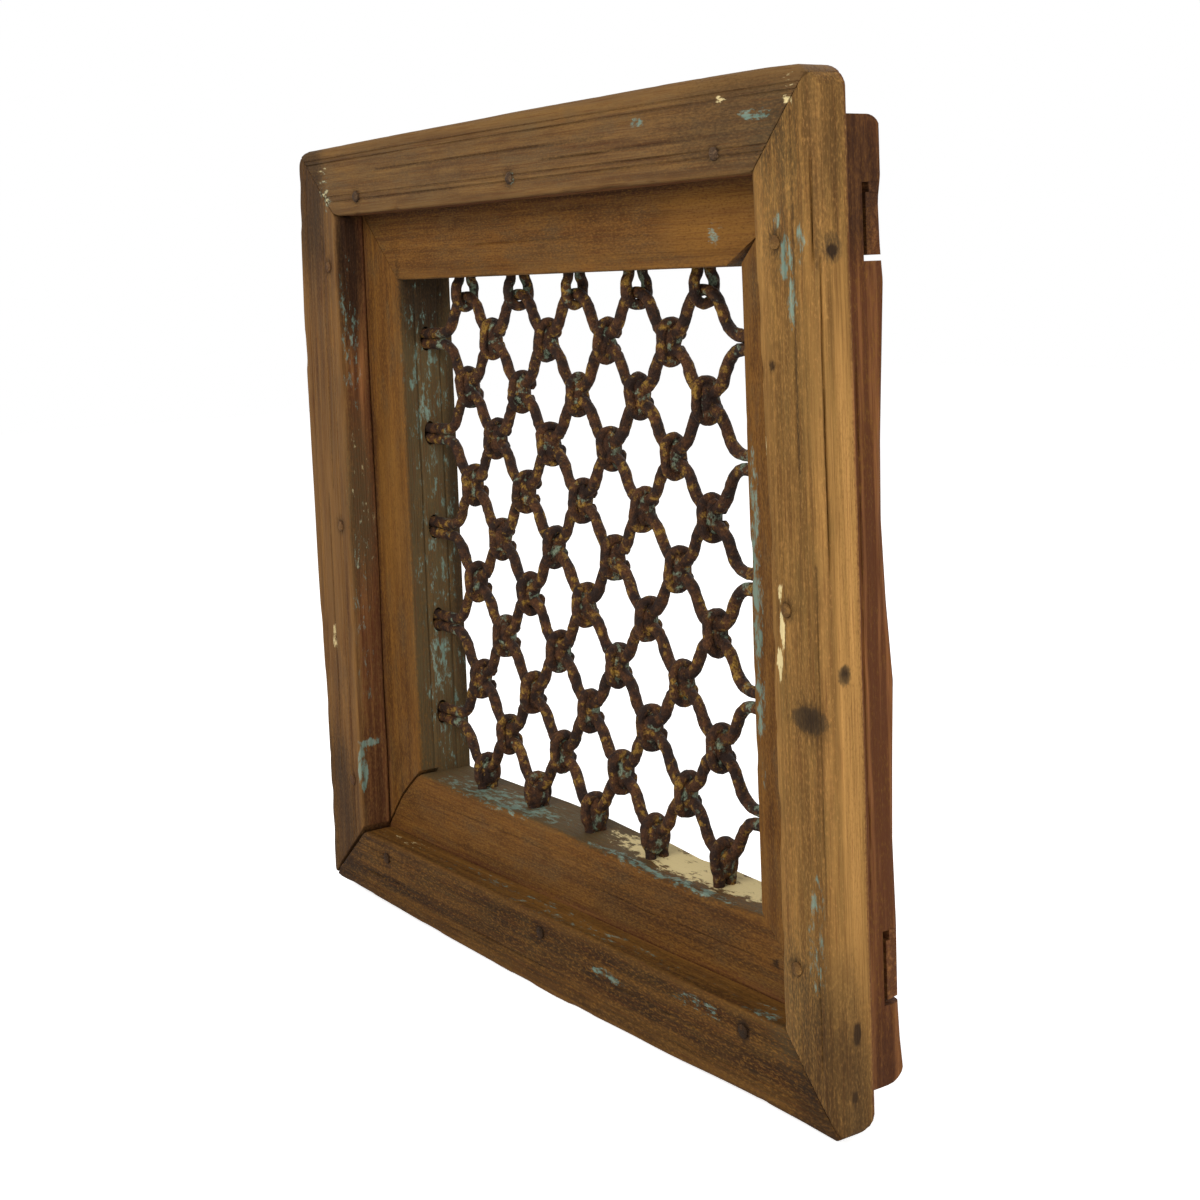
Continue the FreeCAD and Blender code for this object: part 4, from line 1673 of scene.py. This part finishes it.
@dataclass
class Lattice:
    """Ten wavy rods tied by open rings, and hung from eye pins in the head and the sill."""

    plan: Plan
    rod_finish: Material
    link_finish: Material
    rod_bend: float = 19 * MM
    rod_radius: float = 4.1 * MM
    # The ends of two rods are pinched together in each hole
    rod_pinch: float = 0.6 * MM
    rod_sway: Triple = (0.9 * MM, 0.6 * MM, 0.9 * MM)
    rod_sway_cell: float = 40 * MM
    rod_end: float = 26 * MM
    ring_radius: float = 3.55 * MM
    ring_radius_range: Pair = (0.94, 1.1)
    ring_half_width: float = 7.9 * MM
    ring_straight: float = 5.1 * MM
    ring_seam: float = 4.0 * MM
    ring_taper: float = 4.0 * MM
    ring_tilt_deg: Triple = (7, 7, 9)
    ring_shift: float = 0.7 * MM
    eye_radius: float = 3.9 * MM
    eye_bend: float = 8 * MM
    eye_leg_half: float = 5.2 * MM
    eye_leg: float = 20 * MM
    eye_tilt_deg: Triple = (2, 4, 8)
    eye_shift: float = 0.4 * MM
    knot_clog: Triple = (6.6 * MM, 7.2 * MM, 12.0 * MM)
    sill_clog: Triple = (6.5 * MM, 8.0 * MM, 11.0 * MM)
    # Paint was caught round the knots, further up and down than to the sides
    paint_reach: float = 8 * MM
    paint_shape: Triple = (1.0, 1.0, 0.6)
    step: float = 1.5 * MM
    columns: int = 10
    tilt_seed: int = 11
    sway_seed: int = 100
    rod_seed: int = 200
    ring_seed: int = 300
    eye_seed: int = 500
    knots: List[Array] = field(default_factory=list)
    level_step: float = field(init=False)
    level_top: float = field(init=False)
    column_step: float = field(init=False)
    first_column: float = field(init=False)
    middle_y: float = field(init=False)
    random: np.random.Generator = field(init=False)

    def __post_init__(self) -> None:
        """Reads the levels, the columns and the middle plane from the rings."""
        rows = [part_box(f"ring_row_{row}") for row in range(1, self.columns)]
        heights = [(low.z + high.z) / 2 for low, high in rows]
        self.level_step = (heights[0] - heights[-1]) / (len(heights) - 1)
        self.level_top = heights[0] + self.level_step
        (low, high), (short_low, short_high) = rows[1], rows[0]
        self.column_step = ((high.x - low.x) - (short_high.x - short_low.x)) / 2
        self.middle_y = (low.y + high.y) / 2
        self.first_column = (low.x + high.x) / 2 - self.columns / 2 * self.column_step
        self.random = np.random.default_rng(self.tilt_seed)

    def column_x(self, column: int) -> float:
        """Place across of a column of knots, counted from the left."""
        return self.first_column + column * self.column_step

    def knot(self, column: int, level: int) -> Array:
        """Middle of a knot, by its column and its level down from the head."""
        return np.array([self.column_x(column), self.middle_y, self.level_top - level * self.level_step])

    def rod_path(self, index: int) -> Array:
        """Middle line of a rod: level ends in the jambs, and a wave between two levels.

        Args:
            index: number of the rod from the top, from 0.

        Returns:
            Places along the rod.
        """
        low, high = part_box(f"wavy_rod_{index + 1:02d}")
        solid_radius = (high.y - low.y) / 2
        crest, trough = high.z - solid_radius, low.z + solid_radius
        bend = self.rod_bend
        rise = crest - trough - 2 * bend
        slope = math.atan2(rise, self.column_step) + math.asin(2 * bend / math.hypot(rise, self.column_step))

        def bend_at(column: int) -> Tuple[int, Pair]:
            """Which way the bend at a column looks, 1 for up, and its middle."""
            up = 1 if (index + column) % 2 else -1
            return up, (self.column_x(column), crest - bend if up > 0 else trough + bend)

        def place(column: int, angle: float) -> Pair:
            """Point of the bend at a column, with an angle of 0 at its top."""
            up, (x, z) = bend_at(column)
            return x + bend * math.sin(angle), z + up * bend * math.cos(angle)

        stretches: List[Union[Line, Arc]] = []
        reached = (low.x, place(0, 0)[1])
        for column in range(self.columns + 1):
            up, middle = bend_at(column)
            start = 0.0 if column == 0 else -slope
            stop = 0.0 if column == self.columns else slope
            stretches.append(Line(reached, place(column, start)))
            stretches.append(Arc(middle, bend, up * (math.pi / 2 - start), up * (math.pi / 2 - stop)))
            reached = place(column, stop)
        stretches.append(Line(reached, (high.x, reached[1])))
        flat = bent(stretches, self.step)
        path = np.stack([flat[:, 0], np.full(len(flat), self.middle_y), flat[:, 1]], axis=1)
        sway = np.stack([soft_noise(path / self.rod_sway_cell, self.sway_seed + 7 * index + axis)
                         for axis in range(3)], axis=1)
        left, right = self.plan.jamb_inner_x
        inside = np.clip(np.minimum(path[:, 0] - left, right - path[:, 0]) / self.rod_end, 0, 1)
        path += sway * np.array(self.rod_sway) * inside[:, None]
        path[:, 2] += self.rod_pinch * (1 if index % 2 else -1) * (1 - inside)
        return path

    def ring_path(self) -> Array:
        """Middle line of a ring about its own middle, from one open end at the back round to the other.

        Returns:
            Places round the ring.
        """
        a, s, seam = self.ring_half_width, self.ring_straight, self.ring_seam / 2
        flat = bent([Line((a, seam), (a, s)), Arc((0, s), a, 0, math.pi), Line((-a, s), (-a, -s)),
                     Arc((0, -s), a, math.pi, 2 * math.pi), Line((a, -s), (a, -seam))], self.step)
        return np.stack([np.zeros(len(flat)), flat[:, 0], flat[:, 1]], axis=1)

    def eye_path(self, rail: Rail) -> Array:
        """Middle line of an eye pin about its column on the rail's face.

        Args:
            rail: head or sill.

        Returns:
            Places from the end of one leg round to the end of the other.
        """
        a, leg, bend = self.ring_half_width, self.eye_leg_half, self.eye_bend
        low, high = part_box(f"{rail}_eye_1")
        tip = self.plan.head_z - low.z if rail is Rail.HEAD else high.z - self.plan.sill_z
        side = tip - (high.y - low.y) / 2
        turn = math.acos(1 - (a - leg) / (2 * bend))
        draw = 2 * bend * math.sin(turn)
        flat = bent([
            Line((-leg, self.eye_leg), (-leg, 0)),
            Arc((-leg - bend, 0), bend, 0, -turn),
            Arc((-a + bend, -draw), bend, math.pi - turn, math.pi),
            Line((-a, -draw), (-a, -side)),
            Arc((0, -side), a, math.pi, 2 * math.pi),
            Line((a, -side), (a, -draw)),
            Arc((a - bend, -draw), bend, 0, turn),
            Arc((leg + bend, 0), bend, math.pi + turn, math.pi),
            Line((leg, 0), (leg, self.eye_leg)),
        ], self.step)
        return np.stack([np.zeros(len(flat)), flat[:, 0], rail.up * flat[:, 1]], axis=1)

    def tilted(self, path: Array, limits_deg: Triple, shift: float) -> Array:
        """Turns and shifts a ring or an eye a little by hand.

        Args:
            path: places about the piece's own middle.
            limits_deg: greatest turn about each axis.
            shift: greatest shift each way.

        Returns:
            The places after the turn.
        """
        turn = Matrix.Identity(3)
        for axis, limit in zip("XYZ", limits_deg):
            turn = turn @ Matrix.Rotation(math.radians(self.random.uniform(-limit, limit)), 3, axis)
        return path @ np.array(turn).T + self.random.uniform(-shift, shift, 3)

    def forge(self, name: str, shells: Sequence[Shell], finish: Material) -> Piece:
        """Makes one piece from forged bars and clogs, with paint caught at the knots.

        Args:
            name: name of the piece.
            shells: points and faces of each bar and clog.
            finish: the iron's finish.

        Returns:
            The dressed piece.
        """
        skin, faces = joined(shells)
        piece = new_piece(name, skin, faces, IRON_CREASE_DEG)
        outward_faces(piece.data)
        nearest = np.full(len(skin), np.inf)
        for knot in self.knots:
            nearest = np.minimum(nearest, np.linalg.norm((skin - knot) * np.array(self.paint_shape), axis=1))
        set_values(piece.data, "paint", faded(nearest, self.paint_reach))
        piece.data.materials.append(finish)
        return piece

    def build(self) -> None:
        """Forges the rods, the rings and the eye pins."""
        for level in range(self.columns + 1):
            self.knots += [self.knot(column, level) for column in range((level + 1) % 2, self.columns + 1, 2)]
        for index in range(self.columns):
            bar = Bar(self.rod_path(index), self.rod_radius, self.rod_seed + index)
            piece = self.forge(f"forged_rod_{index + 1:02d}", [bar.shell()], self.rod_finish)
            hand_over(piece, f"wavy_rod_{index + 1:02d}")
        for level in range(1, self.columns):
            shells = []
            for column in range(1 if level % 2 == 0 else 2, self.columns, 2):
                knot, seed = self.knot(column, level), self.ring_seed + 20 * level + column
                path = self.tilted(self.ring_path(), self.ring_tilt_deg, self.ring_shift) + knot
                radius = self.ring_radius * self.random.uniform(*self.ring_radius_range)
                shells.append(Bar(path, radius, seed, taper=self.ring_taper).shell())
                shells.append(Clog(knot, self.knot_clog, seed).shell())
            piece = self.forge(f"forged_rings_{level}", shells, self.link_finish)
            hand_over(piece, f"ring_row_{level}")
        for rail, number in itertools.product(Rail, range(1, self.columns // 2 + 1)):
            knot = self.knot(2 * number - 1, 0 if rail is Rail.HEAD else self.columns)
            seed = self.eye_seed + number
            foot = np.array([*knot[:2], self.plan.head_z if rail is Rail.HEAD else self.plan.sill_z])
            path = self.tilted(self.eye_path(rail), self.eye_tilt_deg, self.eye_shift) + foot
            shells = [Bar(path, self.eye_radius, seed).shell()]
            if rail is Rail.SILL:
                shells.append(Clog(knot, self.sill_clog, seed).shell())
            piece = self.forge(f"forged_eye_{rail}_{number}", shells, self.link_finish)
            hand_over(piece, f"{rail}_eye_{number}")


@dataclass
class Nails:
    """Hand-made nails of the boards: uneven domed heads on short shanks, set in the dents of the wood."""

    plan: Plan
    finishes: Dict[Side, Material]
    domes: Dict[Side, float]
    shank: float = 3.0 * MM
    shank_share: float = 0.9
    crown_share: float = 0.12
    dome_fall: float = 2.4
    rings: int = 7
    sides: int = 18
    seed: int = 700

    def head(self, middle: Vector, dome: float, seed: int) -> Shell:
        """One nail head: an uneven dome with its shank behind.

        Args:
            middle: place of the head's middle.
            dome: height of the dome.
            seed: picks its own uneven shape.

        Returns:
            Points and faces.
        """
        turn = np.linspace(0, 2 * math.pi, self.sides, endpoint=False)[None, :]
        share = np.concatenate([np.linspace(self.crown_share, 1, self.rings), [self.shank_share]])[:, None]
        fall = 1 - np.linspace(0.0, 1, self.rings) ** self.dome_fall
        proud = np.concatenate([dome * fall, [-self.shank]])[:, None]
        spot = np.stack([np.cos(turn) * share, np.sin(turn) * share, 0 * turn * share], axis=-1)
        reach = NAIL_HEAD / 2 * (0.92 + 0.08 * soft_noise(spot * 1.7 + 3.1, seed))
        level = proud * (0.86 + 0.14 * soft_noise(spot * 2.3, seed + 9))
        points = np.stack([middle.x + reach * spot[..., 0], self.plan.front_y - level,
                           middle.z + reach * spot[..., 1]], axis=-1)
        return points.reshape(-1, 3), tube_faces(len(share), self.sides)

    def build(self) -> None:
        """Makes the nails of each board where their solids are."""
        for side in Side:
            first_seed = self.seed + 10 * len(side)
            shells = [self.head(place, self.domes[side], first_seed + number)
                      for number, place in enumerate(nail_places(side))]
            piece = new_piece(f"forged_nails_{side}", *joined(shells), NAIL_CREASE_DEG)
            outward_faces(piece.data)
            set_values(piece.data, "paint", np.zeros(len(piece.data.vertices)))
            piece.data.materials.append(self.finishes[side])
            hand_over(piece, f"architrave_nails_{side}")


@dataclass
class Studio:
    """Plain pale studio: a floor, soft lamps, a white surround and the camera at the photograph's place."""

    # The camera as fitted to the photograph, whose frame is 1200 by 1200 pixels
    frame_px: float = 1200.0
    focal_px: float = 1927.5
    optical_centre_px: Pair = (613.0, 417.0)
    camera_place: Triple = (1.1508, -0.7382, 0.5078)
    camera_azimuth_deg: float = 55.63
    camera_elevation_deg: float = 4.21
    camera_roll_deg: float = -2.15
    sensor_mm: float = 36.0
    floor_size: float = 12.0
    floor_colour: str = "#f4f3f1"
    floor_glow: float = 0.72
    room_colour: str = "#ffffff"
    room_light: float = 0.42
    lamp_aim: Triple = (0, 0, 0.32)
    # Name, place, side and power in watts of each lamp
    lamps: Sequence[Tuple[str, Triple, float, float]] = (
        ("key_softbox", (1.0, -2.4, 1.95), 1.6, 56.0),
        ("fill_softbox", (2.5, -0.4, 0.9), 1.4, 26.0),
        ("rear_softbox", (-0.6, 2.0, 1.6), 1.4, 14.0),
    )

    def camera(self) -> None:
        """Places the camera."""
        made = bpy.data.cameras.new("portrait_camera")
        made.sensor_fit = "HORIZONTAL"
        made.sensor_width = self.sensor_mm
        made.lens = self.sensor_mm * self.focal_px / self.frame_px
        made.shift_x = (self.frame_px / 2 - self.optical_centre_px[0]) / self.frame_px
        made.shift_y = (self.optical_centre_px[1] - self.frame_px / 2) / self.frame_px
        azimuth, elevation = math.radians(self.camera_azimuth_deg), math.radians(self.camera_elevation_deg)
        back = Vector((math.sin(azimuth) * math.cos(elevation), -math.cos(azimuth) * math.cos(elevation),
                       math.sin(elevation)))
        level = Vector((math.cos(azimuth), math.sin(azimuth), 0.0))
        up = back.cross(level)
        turn = Matrix((level, up, back)).transposed()
        turn = turn @ Matrix.Rotation(math.radians(self.camera_roll_deg), 3, "Z")
        holder = bpy.data.objects.new("portrait_camera", made)
        holder.matrix_world = Matrix.Translation(self.camera_place) @ turn.to_4x4()
        bpy.context.scene.collection.objects.link(holder)
        bpy.context.scene.camera = holder

    def lamp(self, name: str, place: Triple, size: float, watts: float) -> None:
        """Hangs a soft square lamp that looks at the window.

        Args:
            name: name of the lamp.
            place: where it hangs.
            size: length of its side.
            watts: its power.
        """
        light = bpy.data.lights.new(name, "AREA")
        light.size = size
        light.energy = watts
        holder = bpy.data.objects.new(name, light)
        aim = Vector(self.lamp_aim) - Vector(place)
        holder.matrix_world = Matrix.Translation(place) @ aim.to_track_quat("-Z", "Y").to_matrix().to_4x4()
        bpy.context.scene.collection.objects.link(holder)

    def surround(self) -> None:
        """Lights the room evenly and shows it white to the camera and in reflections."""
        world = bpy.data.worlds.new("pale_room")
        world.use_nodes = True
        tree = world.node_tree
        tree.nodes.clear()
        rays = add(tree, "LightPath", {}).outputs
        seen = add(tree, "Math", {0: rays["Is Camera Ray"], 1: rays["Is Glossy Ray"]}, operation="MAXIMUM")
        seen = add(tree, "Math", {0: seen, 1: rays["Is Transmission Ray"]}, operation="MAXIMUM")
        room = add(tree, "Background", {"Color": self.room_colour, "Strength": self.room_light})
        white = add(tree, "Background", {"Color": self.room_colour, "Strength": 1.0})
        both = add(tree, "MixShader", {0: seen, 1: room, 2: white})
        add(tree, "OutputWorld", {"Surface": both})
        bpy.context.scene.world = world

    def floor(self) -> None:
        """Lays a matt white floor that keeps the window's shadow."""
        half = self.floor_size / 2
        points = np.array([(-half, -half, 0), (half, -half, 0), (half, half, 0), (-half, half, 0)])
        piece = new_piece("studio_floor", points, [(0, 1, 2, 3)])
        paper = bare_material("matt_white_paper")
        tree = paper.node_tree
        rays = add(tree, "LightPath", {}).outputs
        lift = add(tree, "Math", {0: rays["Is Camera Ray"], 1: self.floor_glow}, operation="MULTIPLY")
        matt = add(tree, "BsdfDiffuse", {"Color": self.floor_colour})
        glow = add(tree, "Emission", {"Color": self.room_colour, "Strength": lift})
        both = add(tree, "AddShader", {0: matt, 1: glow})
        add(tree, "OutputMaterial", {"Surface": both})
        piece.data.materials.append(paper)

    def build(self) -> None:
        """Sets up the whole studio."""
        self.surround()
        self.floor()
        for lamp in self.lamps:
            self.lamp(*lamp)
        self.camera()
        bpy.context.scene.view_settings.view_transform = "Standard"


def old_marks() -> List[Mark]:
    """Paint, dirt and wear left on the wood, and some painted shade and light, each placed from the photograph.

    Returns:
        The marks of the whole window.
    """
    # Each row is a place and a reach, across, deep and up in millimetres, and a strength
    rows = {
        Stain.TURQUOISE: (
            (303, -36, 513, 9, 9, 15, 0.6), (308, -36, 490, 5, 9, 22, 0.6), (296, -36, 535, 4, 9, 12, 0.4),
            (317, -36, 522, 6, 9, 14, 0.4), (277, -36, 597, 22, 9, 4, 0.55), (161, -36, 602, 9, 9, 4, 0.55),
            (8, -36, 577, 6, 9, 6, 0.5), (93, -36, 36, 30, 9, 5, 0.32), (196, -36, 46, 30, 9, 7, 0.34),
            (253, -29, 59, 20, 14, 8, 0.36), (0, -24, 58, 240, 12, 5, 0.17), (313, -36, 121, 9, 9, 46, 0.33),
            (234, -9, 300, 6, 6, 120, 0.55), (202, -9, 530, 10, 6, 10, 0.5), (-264, -34, 111, 5, 6, 24, 0.7),
            (-264, -26, 130, 5, 14, 5, 0.7), (-264, -26, 464, 5, 12, 90, 0.2), (-264, -26, 260, 5, 12, 130, 0.17),
            (-211, 14, 430, 8, 26, 120, 0.25), (-211, 16, 300, 8, 26, 100, 0.2), (-211, 12, 410, 8, 12, 28, 0.36),
            (-211, 14, 205, 8, 14, 34, 0.36), (-211, 20, 180, 8, 26, 90, 0.22), (-102, 6, 111, 115, 24, 8, 0.45),
            (120, -4, 108, 115, 7, 10, 0.5), (-279, -36, 582, 12, 9, 24, 0.3),
        ),
        Stain.CREAM: (
            (128, 23, 107, 132, 25, 12, 0.85), (-279, -36, 587, 14, 9, 22, 0.2), (311, -36, 608, 8, 9, 13, 0.36),
            (287, -36, 279, 4, 8, 14, 0.7), (290, -36, 299, 3, 8, 16, 0.7), (289, -36, 321, 2.5, 8, 9, 0.6),
            (279, -36, 404, 2.5, 8, 12, 0.6), (-298, -36, 213, 6, 8, 20, 0.4), (248, -36, 608, 6, 8, 5, 0.45),
            (-215, -22, 58, 45, 12, 5, 0.16), (-264, -24, 330, 6, 14, 90, 0.12),
        ),
        Stain.KNOT: (
            (312, -36, 249, 21, 9, 11, 0.85), (330, -24, 519, 9, 12, 15, 0.55), (330, -24, 276, 6, 7, 9, 0.8),
        ),
        Stain.GRIME: (
            (330, -24, 517, 5, 5, 5, 1.3), (330, -24, 277, 3, 4, 5, 0.8), (330, -22, 66, 5, 4, 9, 1.2),
            (330, -25, 29, 5, 3, 5, 1.2), (-288, -36, 540, 9, 9, 16, 0.5), (-310, -36, 590, 40, 12, 110, 0.6),
            (-310, -36, 60, 60, 12, 110, 0.6), (318, -30, 10, 45, 26, 130, 0.6), (332, -26, 590, 24, 24, 95, 0.45),
            # Painted shade: the mark at 230, 10, 518 darkens the split corner of the head
            (130, -9, 85, 140, 6, 32, 0.42), (230, 10, 518, 26, 14, 24, 1.4), (241, -9, 80, 4, 5, 4, 0.9),
            (288, -36, 452, 4, 8, 5, 0.8), (118, -5, 109, 120, 8, 9, 0.5), (-236, -5, 86, 26, 8, 26, 0.3),
            # Painted shadow: the mark at -211, 14, 505 darkens the top of the left reveal under the head
            (240, -36, 44, 9, 8, 9, 0.9), (260, -36, 592, 110, 12, 45, 0.38), (-211, 14, 505, 8, 34, 60, 0.75),
            (-211, 38, 300, 8, 13, 230, 0.6), (-264, -24, 520, 6, 16, 90, 0.8), (-264, -24, 100, 6, 16, 80, 0.4),
            (304, 15, 560, 8, 40, 70, 0.62), (304, 15, 35, 8, 40, 45, 0.35),
        ),
        Stain.WORN: (
            # Painted light: the mark at 331, -19, 290 is a painted highlight along the right board's outer side,
            # and the one at 200, -9, 540 paints light on the right part of the head's ledge
            (331, -19, 290, 9, 15, 270, 1.0), (-300, -36, 310, 34, 10, 130, 0.5), (200, -9, 540, 70, 6, 34, 0.75),
            (-238, -9, 330, 28, 6, 100, 0.6),
        ),
        Stain.DUSTY: (
            (-264, -24, 330, 6, 16, 100, 0.58), (288, -36, 75, 34, 12, 55, 0.4), (296, -36, 555, 30, 12, 70, 0.3),
        ),
    }
    return [Mark(stain, row[:3], row[3:6], row[6]) for stain, group in rows.items() for row in group]


def main() -> None:
    """Builds the window piece by piece, then the studio."""
    logging.basicConfig(level=logging.INFO, format="%(name)s: %(message)s")
    plan = Plan.from_frame()
    marks = old_marks()
    boards = {
        Side.TOP: AgedTeak(
            "aged_teak_top_board", deep="#523820", middle="#6c4f2e", pale="#7e5d34", honey="#84602f",
            weathered="#5f4c33", mottle_share=0.55, speck_share=0.42,
        ),
        Side.LEFT: AgedTeak(
            "aged_teak_left_board", deep="#4e321b", middle="#6f4e2a", pale="#845f35", honey="#8a6232",
            weathered="#624b31", mottle_share=0.55, speck_share=0.42,
        ),
        # Its bright honey also colours the painted highlight along its outer side
        Side.RIGHT: AgedTeak(
            "aged_teak_right_board", deep="#5c3f1d", middle="#7d5a2c", pale="#926c37", honey="#bd8c4e",
            weathered="#6a5028", streak_share=0.25, mottle_share=0.6, speck_share=0.42,
        ),
        Side.BOTTOM: AgedTeak(
            "aged_teak_bottom_board", deep="#251605", middle="#372007", pale="#4a2e0d", honey="#8f632a",
            weathered="#453215", knot="#3a2a14", speck_share=0.65,
        ),
    }
    # The top board's nails are bare; the other heads are flat and carry the brown of their board, rubbed over
    # them for years
    nails = {
        side: RustedIron(f"rubbed_iron_nails_{side}", skin=teak.deep, rust=teak.middle, ochre=teak.pale,
                         paint_share=0.0)
        for side, teak in boards.items()
    }
    nails[Side.TOP] = RustedIron("rusted_iron_nails", skin="#3a2a1d", rust="#5a432c", ochre="#86694a",
                                 paint_share=0.0)
    nail_domes = {Side.TOP: 2 * MM, Side.LEFT: MM, Side.RIGHT: 1.4 * MM, Side.BOTTOM: MM}
    rod_iron = RustedIron("rusted_iron_rods").material()
    link_iron = RustedIron("rusted_iron_rings", paint_share=0.75).material()
    Architrave(plan, marks, {side: teak.material() for side, teak in boards.items()}).build()
    BoxFrame(plan, marks, AgedTeak("aged_teak_frame").material()).build()
    Lattice(plan, rod_iron, link_iron).build()
    Nails(plan, {side: iron.material() for side, iron in nails.items()}, nail_domes).build()
    Studio().build()


if __name__ == "__main__":
    main()
